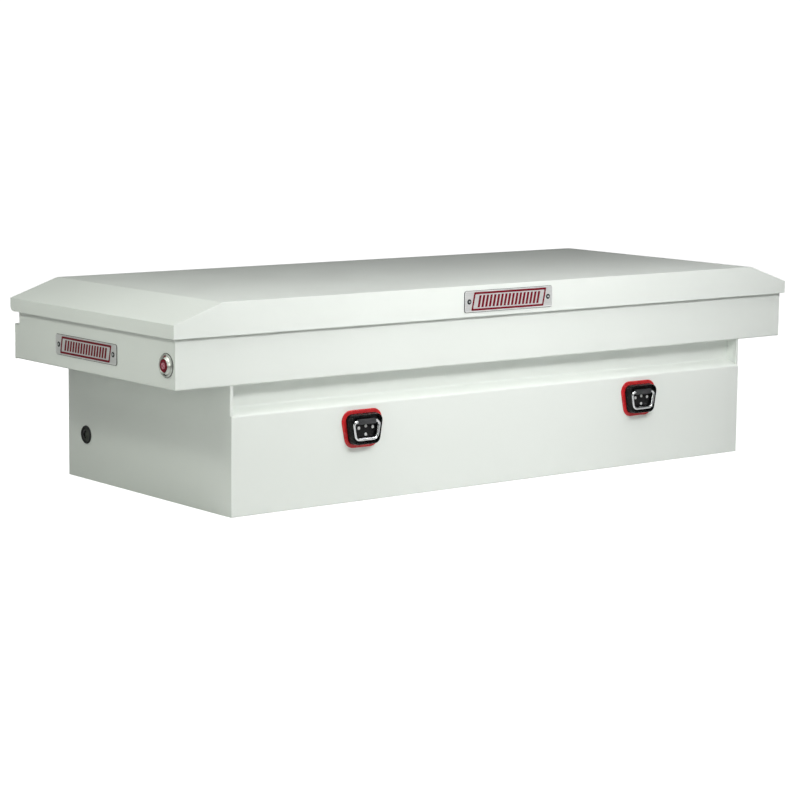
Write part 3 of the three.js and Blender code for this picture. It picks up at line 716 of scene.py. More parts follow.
def draw_end(bm):
    """The end wall with its lap over the wing, and the folded edge that closes the channel."""
    lap = BAND_BOTTOM + SHEET + GAP
    fold = 12.0
    path = rounded_path(
        [
            (-TUB_HALF, 0),
            (-TUB_HALF, LEDGE_BOTTOM),
            (-TUB_HALF, BAND_BOTTOM - JOGGLE),
            (-TUB_HALF, BAND_BOTTOM - GAP),
            (-TUB_HALF, lap),
            (-TUB_HALF - LAP, lap),
        ],
        [1, 1, 1, 1.6],
    )
    y_neck = FRONT + NECK_SETBACK
    y_fold = y_neck + fold
    lap_back = BAND_BACK - SHEET - GAP
    stations = [FRONT, y_fold, LAP_FRONT, lap_back, BAND_BACK, BACK]

    def keep(y, _, z):
        if y < y_fold:
            return z < LEDGE_BOTTOM
        if y < LAP_FRONT:
            return z < BAND_BOTTOM - GAP
        if y < lap_back:
            return True
        return z < BAND_BOTTOM - (GAP if y < BAND_BACK else JOGGLE)

    add_sheet(bm, path, stations, on_y, (-1, 0, 0), keep)
    edge = rounded_path(
        [(-TUB_HALF, y_fold), (-TUB_HALF - NECK_FLARE, y_neck), (-TUB_HALF + 6.0, y_neck)], 1.8
    )
    add_sheet(bm, edge, [LEDGE_BOTTOM + 0.4, BAND_BOTTOM - GAP], on_z, (-1, -1, 0))


sheet_skin(pair, "end_skin", draw_end, "body", "end_panel")


def draw_wing(bm):
    path = rounded_path(
        [
            (-BAND_HALF + RIM_WIDTH, RIM),
            (-BAND_HALF, RIM),
            (-BAND_HALF, STEP_FLOOR - GAP),
            (-BAND_HALF, BAND_BOTTOM),
            (-TUB_HALF - GAP, BAND_BOTTOM),
        ],
        [BEND, BEND, BEND],
    )
    rim_front = FRONT + RIM_WIDTH + GAP
    rim_back = STEP_FRONT - RIM_WIDTH - GAP
    step = STEP_FRONT - SHEET - GAP
    stations = [FRONT + 3.0, rim_front, rim_back, step, BAND_BACK - SHEET - GAP]

    def keep(y, _, z):
        if z > RIM - 0.1:
            return rim_front < y < rim_back
        return z < STEP_FLOOR - GAP or y < step

    add_sheet(bm, path, stations, on_y, (-1, 0, -1), keep)


sheet_skin(pair, "wing_skin", draw_wing, "body", "wing")

refine("floor_pan", "floor_skin", WHITE, 0.9)


# ---- weather seal
def draw_seal(bm):
    low, high = box_mm("weather_seal")
    middle = (low + high) / 2
    half = (high - low) / 2
    width = 16.0
    corner = 12.0
    half_outline = [
        (0.4, 0.3),
        (0, 0.8),
        (0, 2.0),
        (0.5, 2.6),
        (2.4, 2.9),
        (2.0, 5.2),
        (3.4, 8.6),
        (width / 2 - 1.8, 10.6),
    ]
    mirrored = [(width - inset, rise) for inset, rise in reversed(half_outline)]
    outline = [*half_outline, (width / 2, 11.0), *mirrored]
    steps = 7
    rings = []
    for inset, rise in outline:
        radius = max(corner - inset, 0.6)
        loop = rectangle_loop(half.x - inset, half.y - inset, radius, steps)
        rings.append([Vector((middle.x + p.x, middle.y + p.y, RIM + rise)) for p in loop])
    add_loft(bm, [*rings, rings[0]])
    bmesh.ops.remove_doubles(bm, verts=bm.verts, dist=1e-4)


single("rim_seal", draw_seal, RUBBER, "body", ["weather_seal"], angle=40)


# ---- lid
LID_BEND = 3.4
LID_SHOULDER = 418.7
LID_RUN = 121.7
LID_TOP = lid_high.z
LID_BOTTOM = lid_low.z
LID_HALF = lid_high.x
LID_DEPTH = lid_high.y
LID_REAR_BEND = 13.0
LID_FLANGE_FRONT = 314.0
SOFT_BEND = 9.0


def lid_stations():
    """The y and the lowest height of each cross-section, with steps round the rear bend."""
    flat = LID_DEPTH - LID_REAR_BEND
    stations = [(-LID_DEPTH, LID_BOTTOM), (flat, LID_BOTTOM)]
    steps = 6
    for k in range(1, steps + 1):
        a = k / steps * math.pi / 2
        y = flat + LID_REAR_BEND * math.sin(a)
        stations.append((y, LID_BOTTOM + LID_REAR_BEND * (1 - math.cos(a))))
    return stations


def draw_lid(bm):
    rows = []
    for y, low in lid_stations():
        outline = [
            (-LID_HALF, low),
            (-LID_HALF, LID_SHOULDER),
            (-LID_HALF + LID_RUN, LID_TOP),
            (LID_HALF - LID_RUN, LID_TOP),
            (LID_HALF, LID_SHOULDER),
            (LID_HALF, low),
        ]
        rows.append([bm.verts.new((x, y, z)) for x, z in outline])
    bm.faces.new(rows[0])
    bm.faces.new(list(reversed(rows[-1])))
    for one, two in zip(rows, rows[1:]):
        for i in range(len(one) - 1):
            bm.faces.new((one[i], two[i], two[i + 1], one[i + 1]))
    for one, two in zip(rows[1:], rows[2:]):
        bm.faces.new((one[-1], two[-1], two[0], one[0]))
    lip = [bm.verts.new((x, LID_FLANGE_FRONT, LID_BOTTOM)) for x in (LID_HALF, -LID_HALF)]
    bm.faces.new((lip[0], rows[1][-1], rows[1][0], lip[1]))
    bmesh.ops.recalc_face_normals(bm, faces=bm.faces)
    bm.faces.ensure_lookup_table()
    top = max(bm.faces, key=lambda f: f.calc_center_median().z)
    if top.normal.z < 0:
        bmesh.ops.reverse_faces(bm, faces=bm.faces)
    weight = bm.edges.layers.float.new("bevel_weight_edge")
    for e in bm.edges:
        if len(e.link_faces) != 2 or e.calc_face_angle(0) < math.radians(17):
            continue
        a, b = (v.co for v in e.verts)
        shoulder = abs(a.z - LID_SHOULDER) < 1 and abs(b.z - LID_SHOULDER) < 1
        e[weight] = 1.0 if shoulder else LID_BEND / SOFT_BEND


lid_skin = sheet_skin(single, "lid_skin", draw_lid, "lid", "lid_shell")
folds = lid_skin.modifiers.new("folds", "BEVEL")
folds.width = SOFT_BEND * MM
folds.segments = 5
folds.limit_method = "WEIGHT"
folds.use_clamp_overlap = True
lid_skin.modifiers.move(len(lid_skin.modifiers) - 1, 0)

LID_ROOF = LID_TOP - SHEET - GAP


def draw_stiffener(bm):
    """A hat section: a channel between two feet."""
    low, high = box_mm("lid_stiffener")
    base, foot, wall = LID_ROOF - THIN_SHEET, high.y, 30
    floor = base - 20
    half = [(wall, floor), (wall, base), (foot, base)]
    corners = [(-y, z) for y, z in reversed(half)] + half
    add_sheet(bm, rounded_path(corners, 3.0, 4), [low.x, high.x], on_x, (0, 0, -1))


single("lid_stiffener_rib", draw_stiffener, INNER, "lid", ["lid_stiffener"], thickness=THIN_SHEET)


def draw_stiffener_welds(bm):
    """Spot welds along both feet of the rib."""
    count, first, pitch, foot = 14, -737, 113.4, 39.5
    for k in range(count):
        for y in (-foot, foot):
            place = (first + k * pitch, y, LID_ROOF - THIN_SHEET)
            add_rivet(bm, place, (0, 0, -1), 3.4, 0.5)


single("lid_rib_welds", draw_stiffener_welds, INNER, "lid")
refine("lid_front_channel", "lid_front_rail", INNER, 0.6)
refine("lid_rear_channel", "lid_rear_rail", INNER, 0.6)
refine_pair("lid_end_channel", "lid_end_rail", INNER, 0.6)


# ---- hinge
HINGE_Y, HINGE_Z = centre_mm("hinge_pin").yz
HINGE_HALF = box_mm("hinge_leaf_body")[1].x
KNUCKLES = 13
BARREL = 5.5
BODY_RIVET_Z = 369.6
LID_RIVET_Y = 327.6


def knuckle(i):
    length = 2 * HINGE_HALF / KNUCKLES
    start = -HINGE_HALF + i * length
    return start + GAP, start + length - GAP


def draw_leaf(bm, plate, tongue, first):
    add_block(bm, *plate, 0.4)
    for i in range(first, KNUCKLES, 2):
        x0, x1 = knuckle(i)
        length = x1 - x0
        profile = [
            (2.8, 0),
            (BARREL - 0.6, 0),
            (BARREL, 0.6),
            (BARREL, length - 0.6),
            (BARREL - 0.6, length),
            (2.8, length),
        ]
        add_ring_lathe(bm, profile, (x0, HINGE_Y, HINGE_Z), (1, 0, 0), 28)
        (y0, z0), (y1, z1) = tongue
        add_block(bm, (x0, y0, z0), (x1, y1, z1), 0.3)


def draw_body_leaf(bm):
    y0 = HINGE_Y - BARREL
    bottom = box_mm("hinge_leaf_body")[0].z
    plate = ((-HINGE_HALF, y0, bottom), (HINGE_HALF, y0 + SHEET, HINGE_Z - 6.5))
    draw_leaf(bm, plate, ((y0, 370), (y0 + SHEET, HINGE_Z)), 0)


def draw_lid_leaf(bm):
    z1 = HINGE_Z + BARREL
    back = box_mm("hinge_leaf_lid")[1].y
    plate = ((-HINGE_HALF, HINGE_Y + 6.5, z1 - SHEET), (HINGE_HALF, back, z1))
    draw_leaf(bm, plate, ((HINGE_Y, z1 - SHEET), (327, z1)), 1)


single("hinge_body_leaf_skin", draw_body_leaf, WHITE, "body", ["hinge_leaf_body"])
single("hinge_lid_leaf_skin", draw_lid_leaf, WHITE, "lid", ["hinge_leaf_lid"])


def draw_hinge_pin(bm):
    add_cross_bar(bm, "hinge_pin", 0.8, 24)


single("hinge_pin_bar", draw_hinge_pin, ZINC, "body", ["hinge_pin"])


def rivets_along_hinge():
    """Two places on each knuckle's stretch of leaf."""
    for i in range(KNUCKLES):
        x0, x1 = knuckle(i)
        for share in (0.25, 0.75):
            yield x0 + (x1 - x0) * share


def draw_body_leaf_rivets(bm):
    for x in rivets_along_hinge():
        add_rivet(bm, (x, HINGE_Y - BARREL + SHEET, BODY_RIVET_Z), (0, 1, 0), 3.0, 1.3, 0.9)


def draw_lid_leaf_rivets(bm):
    for x in rivets_along_hinge():
        add_rivet(bm, (x, LID_RIVET_Y, HINGE_Z + BARREL - SHEET), (0, 0, -1), 2.8, 1.2, 0.8)


single("hinge_body_rivets", draw_body_leaf_rivets, ZINC, "body")
single("hinge_lid_rivets", draw_lid_leaf_rivets, ZINC, "lid")


# ---- wing laps
def draw_lap_rivets(bm):
    top = BAND_BOTTOM + SHEET * 2 + GAP
    first, pitch = -250, 108
    for k in range(6):
        add_rivet(bm, (-TUB_HALF - 12, first + k * pitch, top), (0, 0, 1), 4.2, 1.6, 1.2)


pair("lap_rivets", draw_lap_rivets, ZINC, "body")


# ---- latches
refine_pair("latch_housing", "latch_case", ZINC, 0.5)
refine_pair("latch_hook", "latch_claw", ZINC, 0.6)
refine_pair("pawl", "latch_pawl", ZINC, 0.5)
refine_pair("striker", "striker_plate", ZINC, 0.6)
refine_pair("body_bracket", "spring_body_bracket", ZINC, 0.5)
refine_pair("lid_bracket", "spring_lid_bracket", ZINC, 0.4)
refine("rod_guide", "rod_guide_bracket", ZINC, 0.5)


HOOK_PIN_Y = -272.0
HOOK_PIN_Z = 352.0


def draw_cross_rod(bm):
    add_cross_bar(bm, "cross_rod", 1, 32)


single("cross_rod_bar", draw_cross_rod, ZINC, "latch_linkage", ["cross_rod"])


def draw_pin_heads(bm):
    """The two heads of the hook's pin, outside the housing."""
    low, high = box_mm("left_latch_housing")
    for x, out in ((low.x, -1), (high.x, 1)):
        add_rivet(bm, (x, HOOK_PIN_Y, HOOK_PIN_Z), (out, 0, 0), 5.6, 2.0)


pair("latch_pin_heads", draw_pin_heads, ZINC, "body")


def draw_torsion_spring(bm):
    """The hook's return spring round its pin, with a leg that runs down."""
    x0, turns, pitch, radius, sides = -861.5, 4, 2.0, 7.2, 16
    points = []
    for k in range(turns * sides + 1):
        a = 2 * math.pi * k / sides
        y, z = HOOK_PIN_Y + radius * math.cos(a), HOOK_PIN_Z + radius * math.sin(a)
        points.append((x0 - k * pitch / sides, y, z))
    end = x0 - turns * pitch
    points.append((end - 0.2, HOOK_PIN_Y + 9, HOOK_PIN_Z - 14))
    points.append((end - 0.4, HOOK_PIN_Y + 10, HOOK_PIN_Z - 26))
    add_tube(bm, points, 0.75, 8)


pair("latch_torsion_spring", draw_torsion_spring, ZINC, "body")


# ---- locks
LOCK_Y, LOCK_Z = centre_mm("left_lock_bezel").yz
WALL = -BAND_HALF - GAP


def draw_bezel(bm):
    """Rolled outer ring, a valley, then a cone up to the button's sleeve."""
    ring = [
        (25.0, 0.0), (25.0, 1.4), (24.6, 3.0), (23.6, 4.2), (22.4, 4.6), (21.4, 4.1),
        (20.9, 3.0), (20.4, 3.0), (19.6, 3.7), (18.2, 5.2), (17.2, 6.5), (16.6, 7.5),
        (15.8, 8.0), (15.0, 8.0), (14.4, 7.5), (14.2, 6.8), (14.2, -23.0), (16.0, -23.0),
        (16.0, 0.0),
    ]
    add_ring_lathe(bm, ring, (WALL, LOCK_Y, LOCK_Z), (-1, 0, 0), 64)


pair("lock_ring", draw_bezel, SATIN, "body", ["lock_bezel"], angle=28)


def draw_lock_mark(bm, sign):
    """A small round inset on the cone."""
    u = Vector((-1, 0, sign * 0.9)).normalized()
    place = Vector((WALL - 4.6, LOCK_Y, LOCK_Z + sign * 18.6))
    add_lathe(bm, [(3.0, -1.5), (3.0, 0.5), (2.5, 0.9), (0, 1.1)], place, u, 20)


def draw_lock_shadow_ring(bm):
    """A thin black ring between the lock's ring and the painted wall: painted shade for the shadow line
    round the lock.
    """
    profile = [(25.9, 0.0), (25.9, 0.5), (25.5, 0.9), (24.2, 0.9), (24.2, 0.0)]
    add_ring_lathe(bm, profile, (WALL, LOCK_Y, LOCK_Z), (-1, 0, 0), 64)


pair("lock_shadow_ring", draw_lock_shadow_ring, RUBBER, "body")
pair("lock_mark_upper", lambda bm: draw_lock_mark(bm, 1), INK, "body")
pair("lock_mark_lower", lambda bm: draw_lock_mark(bm, -1), BLACK, "body")


def draw_button(bm):
    """The button with the bore for its key plug, and the wedge behind it that pushes the pawl."""
    face = box_mm("left_push_button")[0].x
    back = -880.0
    length = back - face
    bore = 21.0
    profile = [
        (0, bore),
        (7.3, bore),
        (7.3, 0.9),
        (7.9, 0.35),
        (9.0, 0.2),
        (11.4, 0.1),
        (12.6, 0.35),
        (13.3, 1.0),
        (13.6, 2.0),
        (13.6, length - 0.5),
        (13.1, length),
        (0, length),
    ]
    add_lathe(bm, profile, (face, LOCK_Y, LOCK_Z), (1, 0, 0), 56)
    wedge = [(back - 1, -6), (-850, -6), (-862, 6), (back - 1, 6)]
    rings = []
    for y, inset in ((-5, 0.5), (-4.5, 0), (4.5, 0), (5, 0.5)):
        ring = [(x, LOCK_Y + y, LOCK_Z + z - math.copysign(inset, z)) for x, z in wedge]
        rings.append(ring)
    add_loft(bm, rings, True, True)


pair("lock_button", draw_button, RUBY, "SIDE_button", ["push_button"], angle=28)
refine_pair("key_plug", "lock_key_plug", ROSE_REFLECTION, 0.4)
refine_pair("lock_nut", "lock_back_nut", ZINC, 0.5)


# ---- gas springs
# the closed strut's two pivots: on the tub's end wall and on the lid's bracket
BODY_EYE = Vector((-735, 280, 240))
LID_EYE = Vector((-735, 190, 385))
STRUT = (LID_EYE - BODY_EYE).normalized()


def add_eye(bm, place):
    """The fitting's round eye, across the strut."""
    outline = [(4.3, -6), (7.2, -6), (8, -5.2), (8, 5.2), (7.2, 6), (4.3, 6)]
    add_ring_lathe(bm, outline, place, (1, 0, 0), 32)


def draw_gas_tube(bm):
    profile = [
        (0, 10.5), (5.5, 10.5), (7.8, 12.0), (9.0, 14.5), (9.0, 118.0), (8.5, 119.4),
        (8.5, 121.4), (9.0, 122.8), (9.0, 133.5), (8.6, 135.4), (7.4, 136.6), (5.2, 137.0),
        (4.4, 136.6), (4.3, 129), (7, 129), (7, 17), (0, 17),
    ]
    add_lathe(bm, profile, BODY_EYE, STRUT, 48)
    stud = [(0, 6.5), (4.6, 6.5), (5.0, 7.5), (5.0, 10.8), (0, 10.8)]
    add_lathe(bm, stud, BODY_EYE, STRUT, 24)
    add_eye(bm, BODY_EYE)


def draw_gas_rod(bm):
    length = (LID_EYE - BODY_EYE).length
    profile = [
        (0, 19),
        (6.5, 19),
        (6.5, 27),
        (4.0, 27.3),
        (4.0, length - 19),
        (5.2, length - 18.4),
        (5.6, length - 17.4),
        (5.6, length - 8.2),
        (4.8, length - 6.8),
        (0, length - 6.5),
    ]
    add_lathe(bm, profile, BODY_EYE, STRUT, 40)
    add_eye(bm, LID_EYE)


pair("gas_spring_tube", draw_gas_tube, BLACK_STEEL, "SIDE_spring_tube", ["gas_cylinder"])
pair("gas_spring_rod", draw_gas_rod, STRUT_CHROME, "SIDE_spring_rod", ["gas_rod"])


def draw_bracket_bolts(bm):
    x = box_mm("left_body_bracket")[0].x + 3.0
    for y in (-18, 18):
        for z in (-13.5, 13.5):
            add_hex_bolt(bm, (x, BODY_EYE.y + y, BODY_EYE.z + z), (1, 0, 0), 7, 4.6)


pair("spring_bracket_bolts", draw_bracket_bolts, ZINC, "body")


# ---- tie-down pods
POD_X = centre_mm("left_pod_flange").x
POD_Z = centre_mm("left_pod_flange").z
POD_BASE = FRONT - 3.6
POD_FRONT = box_mm("left_pod_body")[0].y
POD_FLOOR = POD_FRONT + 9.0


def pod_ring(shape, y, inset=0.0, scale=(1, 1)):
    """A ring of one of the shapes below, which are (top half, bottom half, half height, corner)."""
    top, bottom, height, corner = shape
    loop = trapezoid_loop(
        (top - inset) * scale[0],
        (bottom - inset) * scale[0],
        (height - inset) * scale[1],
        max(corner - inset, 1.0),
        7,
    )
    return [Vector((POD_X + p.x, y, POD_Z + p.y)) for p in loop]


FLANGE_SHAPE = (60.5, 43, 42, 24)
BODY_SHAPE = (45, 35, 33, 15)
RECESS_SHAPE = (43, 33, 30.5, 12.5)
PANEL_SHAPE = (27, 21.5, 18, 6)
RING_RADIUS = 3.7


def draw_pod_flange(bm):
    wall = FRONT - GAP
    steps = [
        (FLANGE_SHAPE, wall, 0.4),
        (FLANGE_SHAPE, wall - 0.5),
        (FLANGE_SHAPE, wall - 1.6),
        (FLANGE_SHAPE, wall - 2.4, 0.5),
        (FLANGE_SHAPE, wall - 2.9, 1.5),
        (FLANGE_SHAPE, wall - 3.0, 3.0),
    ]
    add_loft(bm, [pod_ring(*step) for step in steps], True, True)


def draw_pod_body(bm):
    wide = (1.07, 1.03)
    steps = [
        (BODY_SHAPE, POD_BASE, 0.6, wide),
        (BODY_SHAPE, POD_BASE - 0.8, 0, wide),
        (BODY_SHAPE, POD_BASE - 5.0, 0, (1.06, 1.025)),
        (BODY_SHAPE, POD_BASE - 6.2, 0.7, (1.05, 1.02)),
        (BODY_SHAPE, POD_FRONT + 2.6, 0, (1.008, 1.006)),
        (BODY_SHAPE, POD_FRONT + 1.2, 0.2),
        (BODY_SHAPE, POD_FRONT + 0.3, 0.7),
        (BODY_SHAPE, POD_FRONT, 1.4),
        (RECESS_SHAPE, POD_FRONT + 0.1, -0.3),
        (RECESS_SHAPE, POD_FRONT + 0.7, 0.2),
        (RECESS_SHAPE, POD_FLOOR - 1.4, 0.9),
        (RECESS_SHAPE, POD_FLOOR, 2.4),
        (PANEL_SHAPE, POD_FLOOR, 0),
        (PANEL_SHAPE, POD_FLOOR - 1.1, 0.3),
        (PANEL_SHAPE, POD_FLOOR - 1.4, 1.0),
    ]
    add_loft(bm, [pod_ring(*step) for step in steps], True, True)


def draw_retainer(bm):
    low, high = box_mm("left_ring_retainer")
    add_block(bm, low, high, 1.6, 3)
    middle = (low.z + high.z) / 2
    screw = [(2.6, -0.6), (2.6, 0.15), (2.2, 0.4), (1.3, 0.4), (1.2, 0.0), (0, 0.0)]
    for x in (low.x + 5.5, high.x - 5.5):
        add_lathe(bm, screw, (x, low.y, middle), (0, -1, 0), 20)


def d_ring_points():
    """The open trapezoid of the ring, with its ends turned in under the retainer."""
    y = centre_mm("left_d_ring").y
    z = centre_mm("left_ring_retainer").z
    corners = [(-17, 0), (-36.3, 0), (-29, -39.5), (29, -39.5), (36.3, 0), (17, 0)]
    path = rounded_path(corners, [8.0, 11.0, 11.0, 8.0], 9)
    made = []
    for a, b in zip(path, path[1:]):
        count = max(1, int((b - a).length / 3))
        made += [a + (b - a) * k / count for k in range(count)]
    made.append(path[-1])
    return [Vector((POD_X + p.x, y, z + p.y)) for p in made]


def draw_d_ring(bm):
    add_tube(bm, d_ring_points(), RING_RADIUS, 20)


def draw_pod_rivets(bm):
    for x, z in ((-18, 3.3), (20, 3.3), (1, 6.8), (1, -11.8)):
        add_rivet(bm, (POD_X + x, POD_FLOOR - 1.3, POD_Z + z), (0, -1, 0), 3.7, 1.9, 0.8)


pair("pod_mounting_flange", draw_pod_flange, RED, "body", ["pod_flange"], angle=25)
pair("pod_housing", draw_pod_body, BLACK, "body", ["pod_body"], angle=25)
pair("pod_ring_retainer", draw_retainer, GREY, "body", ["ring_retainer"])
pair("tie_down_ring", draw_d_ring, CHROME, "SIDE_ring", ["d_ring"], angle=40)
pair("pod_rivets", draw_pod_rivets, ALUMINIUM, "body")


# ---- nameplates
def plate_frame(node):
    """Matrix from plate coordinates (along, up, out) to the frame, with the plate's half sizes."""
    low, high = box_mm(node)
    middle = (low + high) / 2
    half = (high - low) / 2
    if half.y < half.x:
        along, out, w, back = (1, 0, 0), (0, -1, 0), half.x, (middle.x, high.y, middle.z)
    else:
        along, out, w, back = (0, -1, 0), (-1, 0, 0), half.y, (high.x, middle.y, middle.z)
    turn = Matrix((along, (0, 0, 1), out)).transposed()
    return Matrix.Translation(back) @ turn.to_4x4(), w, half.z


def laid(frame_matrix, loop, out):
    return [frame_matrix @ Vector((p.x, p.y, out)) for p in loop]


PLATE_CORNER = 5
PLATE_LEAN = 0.2
RIVET_INSET = 13
WASHER = (6.0, 0.8)  # radius, height
DOME = (2.5, 2.1)


def draw_plate(bm, node):
    """The plate with a raised rolled edge and a shallow sunk field."""
    place, w, h = plate_frame(node)
    steps = [(0.3, 0.0), (0.0, 0.4), (0.0, 1.8), (0.4, 2.4), (1.1, 2.6), (2.0, 2.4), (2.6, 1.9)]
    rings = []
    for inset, out in steps:
        loop = rectangle_loop(w - inset, h - inset, PLATE_CORNER - inset * 0.6)
        rings.append(laid(place, loop, out))
    add_loft(bm, rings, True, True)


def leaning_loop(half_width, half_height, radius):
    """A rounded frame whose ends lean forward."""
    loop = rectangle_loop(half_width, half_height, radius, 3)
    return [Vector((p.x + p.y * PLATE_LEAN, p.y)) for p in loop]


def draw_plate_pattern(bm, node):
    """A plain border and a row of evenly spaced slanted bars, with no lettering."""
    place, w, h = plate_frame(node)
    outer_w, outer_h = w - 23, h - 3.1
    line, pitch, bar, gap = 4.4, 11.0, 6.2, 2.8
    base, top = 1.7, 2.25
    outer = leaning_loop(outer_w, outer_h, 2.4)
    inner = leaning_loop(outer_w - line, outer_h - line, 1.2)
    steps = ((outer, base), (outer, top), (inner, top), (inner, base), (outer, base))
    add_loft(bm, [laid(place, loop, out) for loop, out in steps])
    bmesh.ops.remove_doubles(bm, verts=bm.verts, dist=1e-4)
    bar_h = outer_h - line - gap
    lean = 2 * bar_h * PLATE_LEAN
    count = int((2 * (outer_w - line - 3) - lean) // pitch)
    start = -(count - 1) * pitch / 2
    for k in range(count):
        x = start + k * pitch
        corners = [
            (x - bar / 2 - lean / 2, -bar_h),
            (x + bar / 2 - lean / 2, -bar_h),
            (x + bar / 2 + lean / 2, bar_h),
            (x - bar / 2 + lean / 2, bar_h),
        ]
        rings = [laid(place, [Vector(c) for c in corners], out) for out in (base, top)]
        add_loft(bm, rings, True, True)


def draw_plate_rivets(bm, node, radius, height):
    """A rivet, or the washer under it, near each end of the plate."""
    place, w, _ = plate_frame(node)
    out = (place.to_3x3() @ Vector((0, 0, 1))).normalized()
    hole = 1.3
    for x in (RIVET_INSET - w, w - RIVET_INSET):
        add_rivet(bm, place @ Vector((x, 0, 1.9)), out, radius, height, hole)


def draw_plate_shadow_pad(bm, node):
    """The thin black pad under the plate, a little larger than it: painted shade for the shadow line
    round the plate's edge.
    """
    place, w, h = plate_frame(node)
    pad = 0.8
    steps = ((pad - 0.2, 0.0), (pad, 0.2), (pad, 0.9), (pad - 0.3, 1.1))
    rings = []
    for grow, out in steps:
        rings.append(laid(place, rectangle_loop(w + grow, h + grow, PLATE_CORNER + grow), out))
    add_loft(bm, rings, True, True)


def make_badge(make, stem, node, replaced, body):
    """One plate's pieces, from the plate itself to the domes of its rivets."""

    def part(name, draw, paint, *sizes, **finish):
        make(f"{stem}_{name}", lambda bm: draw(bm, node, *sizes), paint, body, **finish)

    part("plate", draw_plate, ALUMINIUM, nodes=[replaced], angle=25)
    part("pattern", draw_plate_pattern, INK)
    part("backing", draw_plate_shadow_pad, RUBBER)
    part("washers", draw_plate_rivets, BLACK_STEEL, *WASHER)
    part("rivets", draw_plate_rivets, ZINC, *DOME)


make_badge(single, "lid_badge", "lid_nameplate", "lid_nameplate", "lid")
make_badge(pair, "end_badge", "left_end_nameplate", "end_nameplate", "body")


# ---- grommets
def grommet_place():
    middle = centre_mm("left_grommet")
    return (-TUB_HALF - GAP, middle.y, middle.z)


def draw_grommet(bm):
    """The rim's rolled lip, with a step down to the web and the barb behind the wall."""
    profile = [
        (0, -1.6), (14.6, -1.6), (15.4, -0.8), (16.0, 1.6), (16.8, 3.0), (18.0, 3.5),
        (19.4, 3.1), (20.6, 1.9), (21.0, 0.6), (20.8, 0.0), (15.6, 0.0), (15.6, -3.0),
        (17.6, -3.2), (18.0, -3.8), (15.8, -5.4), (0, -5.4),
    ]
    add_lathe(bm, profile, grommet_place(), (-1, 0, 0), 56)


def draw_grommet_web(bm):
    """A thin dished web round a raised nipple with a hollow in it."""
    profile = [
        (0, -2.2), (15.0, -2.2), (15.8, -0.2), (15.2, 0.5), (11.6, 0.9), (9.4, 1.3),
        (8.8, 2.2), (8.0, 2.7), (7.2, 2.2), (6.8, 0.8), (0, 0.6),
    ]
    add_lathe(bm, profile, grommet_place(), (-1, 0, 0), 48)


def draw_grommet_shadow(bm):
    """A black crescent on the web, to one side of its centre: painted shadow of the grommet's inner
    wall.
    """
    x, y, z = grommet_place()
    steps, start, sweep = 24, 70, 220
    turns = [math.radians(start + sweep * k / steps) for k in range(steps + 1)]
    rings = []
    for out, size in ((-0.5, 1.0), (2.7, 1.0), (3.1, 0.9), (3.2, 0.7)):
        outer = [(a, 8.6 * size, 9.2 * size) for a in turns]
        inner = [(a, 4.6, 6.4 * size) for a in reversed(turns)]
        ring = []
        for a, across, up in outer + inner:
            ring.append((x - out, y + 2 - across * math.cos(a), z + up * math.sin(a)))
        rings.append(ring)
    add_loft(bm, rings, True, True)


pair("cable_grommet", draw_grommet, RUBBER, "body", ["grommet"], angle=35)
pair("cable_grommet_web", draw_grommet_web, WEB, "body", angle=35)
pair("cable_grommet_shadow", draw_grommet_shadow, GROMMET_SHADE, "body", angle=35)


# ---- floor, light
def make_floor():
    paint = Paint("pale_floor", Roughness=0.9)
    paint.colours(paint.noise(0.6, 3), [(0.3, (0.70,) * 3), (0.7, (0.74,) * 3)])
    paint.shader.inputs["Emission Color"].default_value = (1, 1, 1, 1)
    path = paint.node("ShaderNodeLightPath")
    paint.link(path.outputs["Is Camera Ray"], paint.shader.inputs["Emission Strength"])
    bm = bmesh.new()
    bmesh.ops.create_grid(bm, x_segments=24, y_segments=24, size=40)
    mesh = bpy.data.meshes.new("floor")
    bm.to_mesh(mesh)
    bm.free()
    mesh.materials.append(paint.material)
    floor = add_object("floor", mesh)
    floor.location.z = -0.001


def area_light(name, place, target, size, power, colour):
    data = bpy.data.lights.new(name, "AREA")
    data.shape = "RECTANGLE"
    data.size, data.size_y = size
    data.energy = power
    data.color = colour
    light = add_object(name, data)
    light.location = place
    aim = Vector(target) - Vector(place)
    light.rotation_euler = aim.to_track_quat("-Z", "Y").to_euler()
    light.visible_camera = False


# the world's colour and strength for everything but the camera, and for the camera
FILL = (0.97, 1.0, 0.98), 0.115
BACKDROP = (1, 1, 1), 1.1


def make_world():
    """White where the camera sees it, and a faint fill for everything else."""
    world = bpy.data.worlds.new("studio")
    world.use_nodes = True
    tree = world.node_tree
    tree.nodes.clear()
    out = tree.nodes.new("ShaderNodeOutputWorld")
    backgrounds = []
    for colour, strength in (FILL, BACKDROP):
        node = tree.nodes.new("ShaderNodeBackground")
        node.inputs["Color"].default_value = (*colour, 1)
        node.inputs["Strength"].default_value = strength
        backgrounds.append(node.outputs["Background"])
    path = tree.nodes.new("ShaderNodeLightPath")
    mix = tree.nodes.new("ShaderNodeMixShader")
    tree.links.new(path.outputs["Is Camera Ray"], mix.inputs["Fac"])
    tree.links.new(backgrounds[0], mix.inputs[1])
    tree.links.new(backgrounds[1], mix.inputs[2])
    tree.links.new(mix.outputs["Shader"], out.inputs["Surface"])
    bpy.context.scene.world = world


GREENISH = (0.965, 1.0, 0.93)
NEUTRAL = (1, 1, 1)
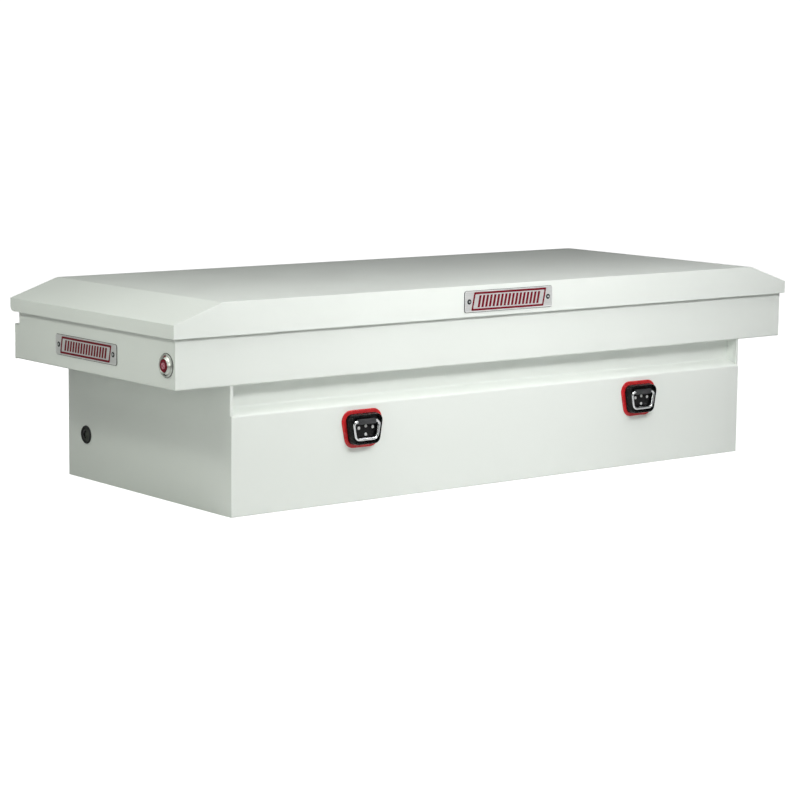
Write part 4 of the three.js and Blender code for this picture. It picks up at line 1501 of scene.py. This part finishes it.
# name, place, aim, size, power, colour
LIGHTS = [
    ("key", (-0.1, -1.5, 1.31), (-0.1, -0.3, 0.27), (1.0, 0.25), 7.8, NEUTRAL),
    ("key_low", (-0.1, -1.7, 1.25), (-0.1, -0.3, 0.25), (1.0, 0.2), 8.7, NEUTRAL),
    ("key_right", (0.8, -1.5, 1.31), (0.6, -0.3, 0.27), (0.6, 0.25), 1.5, NEUTRAL),
    ("key_high", (0, -1.3, 1.45), (0, -0.31, 0.23), (1.8, 0.2), 3.6, NEUTRAL),
    ("lid_front_strip", (0, -0.55, 1.15), (0, -0.3, 0.45), (2.4, 0.2), 4.4, NEUTRAL),
    ("left_low", (-2.4, -1.2, 0.8), (-0.8, -0.1, 0.25), (0.8, 0.6), 5.1, GREENISH),
    ("left_near", (-1.9, -0.5, 1.3), (-0.9, -0.1, 0.35), (0.4, 0.4), 2.8, GREENISH),
    ("end_strip", (-1.45, 0.1, 0.95), (-0.92, 0.05, 0.36), (1.0, 0.12), 2.0, GREENISH),
    ("end_high", (-1.3, 0.1, 1.5), (-0.95, 0.05, 0.38), (1.0, 0.2), 1.5, GREENISH),
    ("camera_card", (-4.4, -5.4, 1.3), (0, 0, 0.25), (2.2, 1.4), 4.0, NEUTRAL),
    ("right_card", (3.6, -4.6, 1.0), (0.2, -0.3, 0.3), (3.2, 1.8), 5.0, NEUTRAL),
    ("left_card", (-4.6, 3.2, 1.0), (-0.9, 0, 0.3), (3.2, 1.8), 3.6, NEUTRAL),
    ("left_front_card", (-4.8, -1.6, 1.0), (-0.9, 0, 0.3), (2.4, 1.6), 0.8, GREENISH),
    ("back_low", (0, 3.0, 0.28), (0, 0.3, 0.25), (3.4, 0.3), 12.0, NEUTRAL),
    ("right_low", (3.2, 0.3, 0.28), (0.9, 0, 0.25), (1.8, 0.3), 8.0, NEUTRAL),
]


make_floor()
make_world()
for light in LIGHTS:
    area_light(*light)
view = bpy.context.scene.view_settings
view.view_transform = "Standard"
view.look = "None"
view.exposure = 0
view.gamma = 1
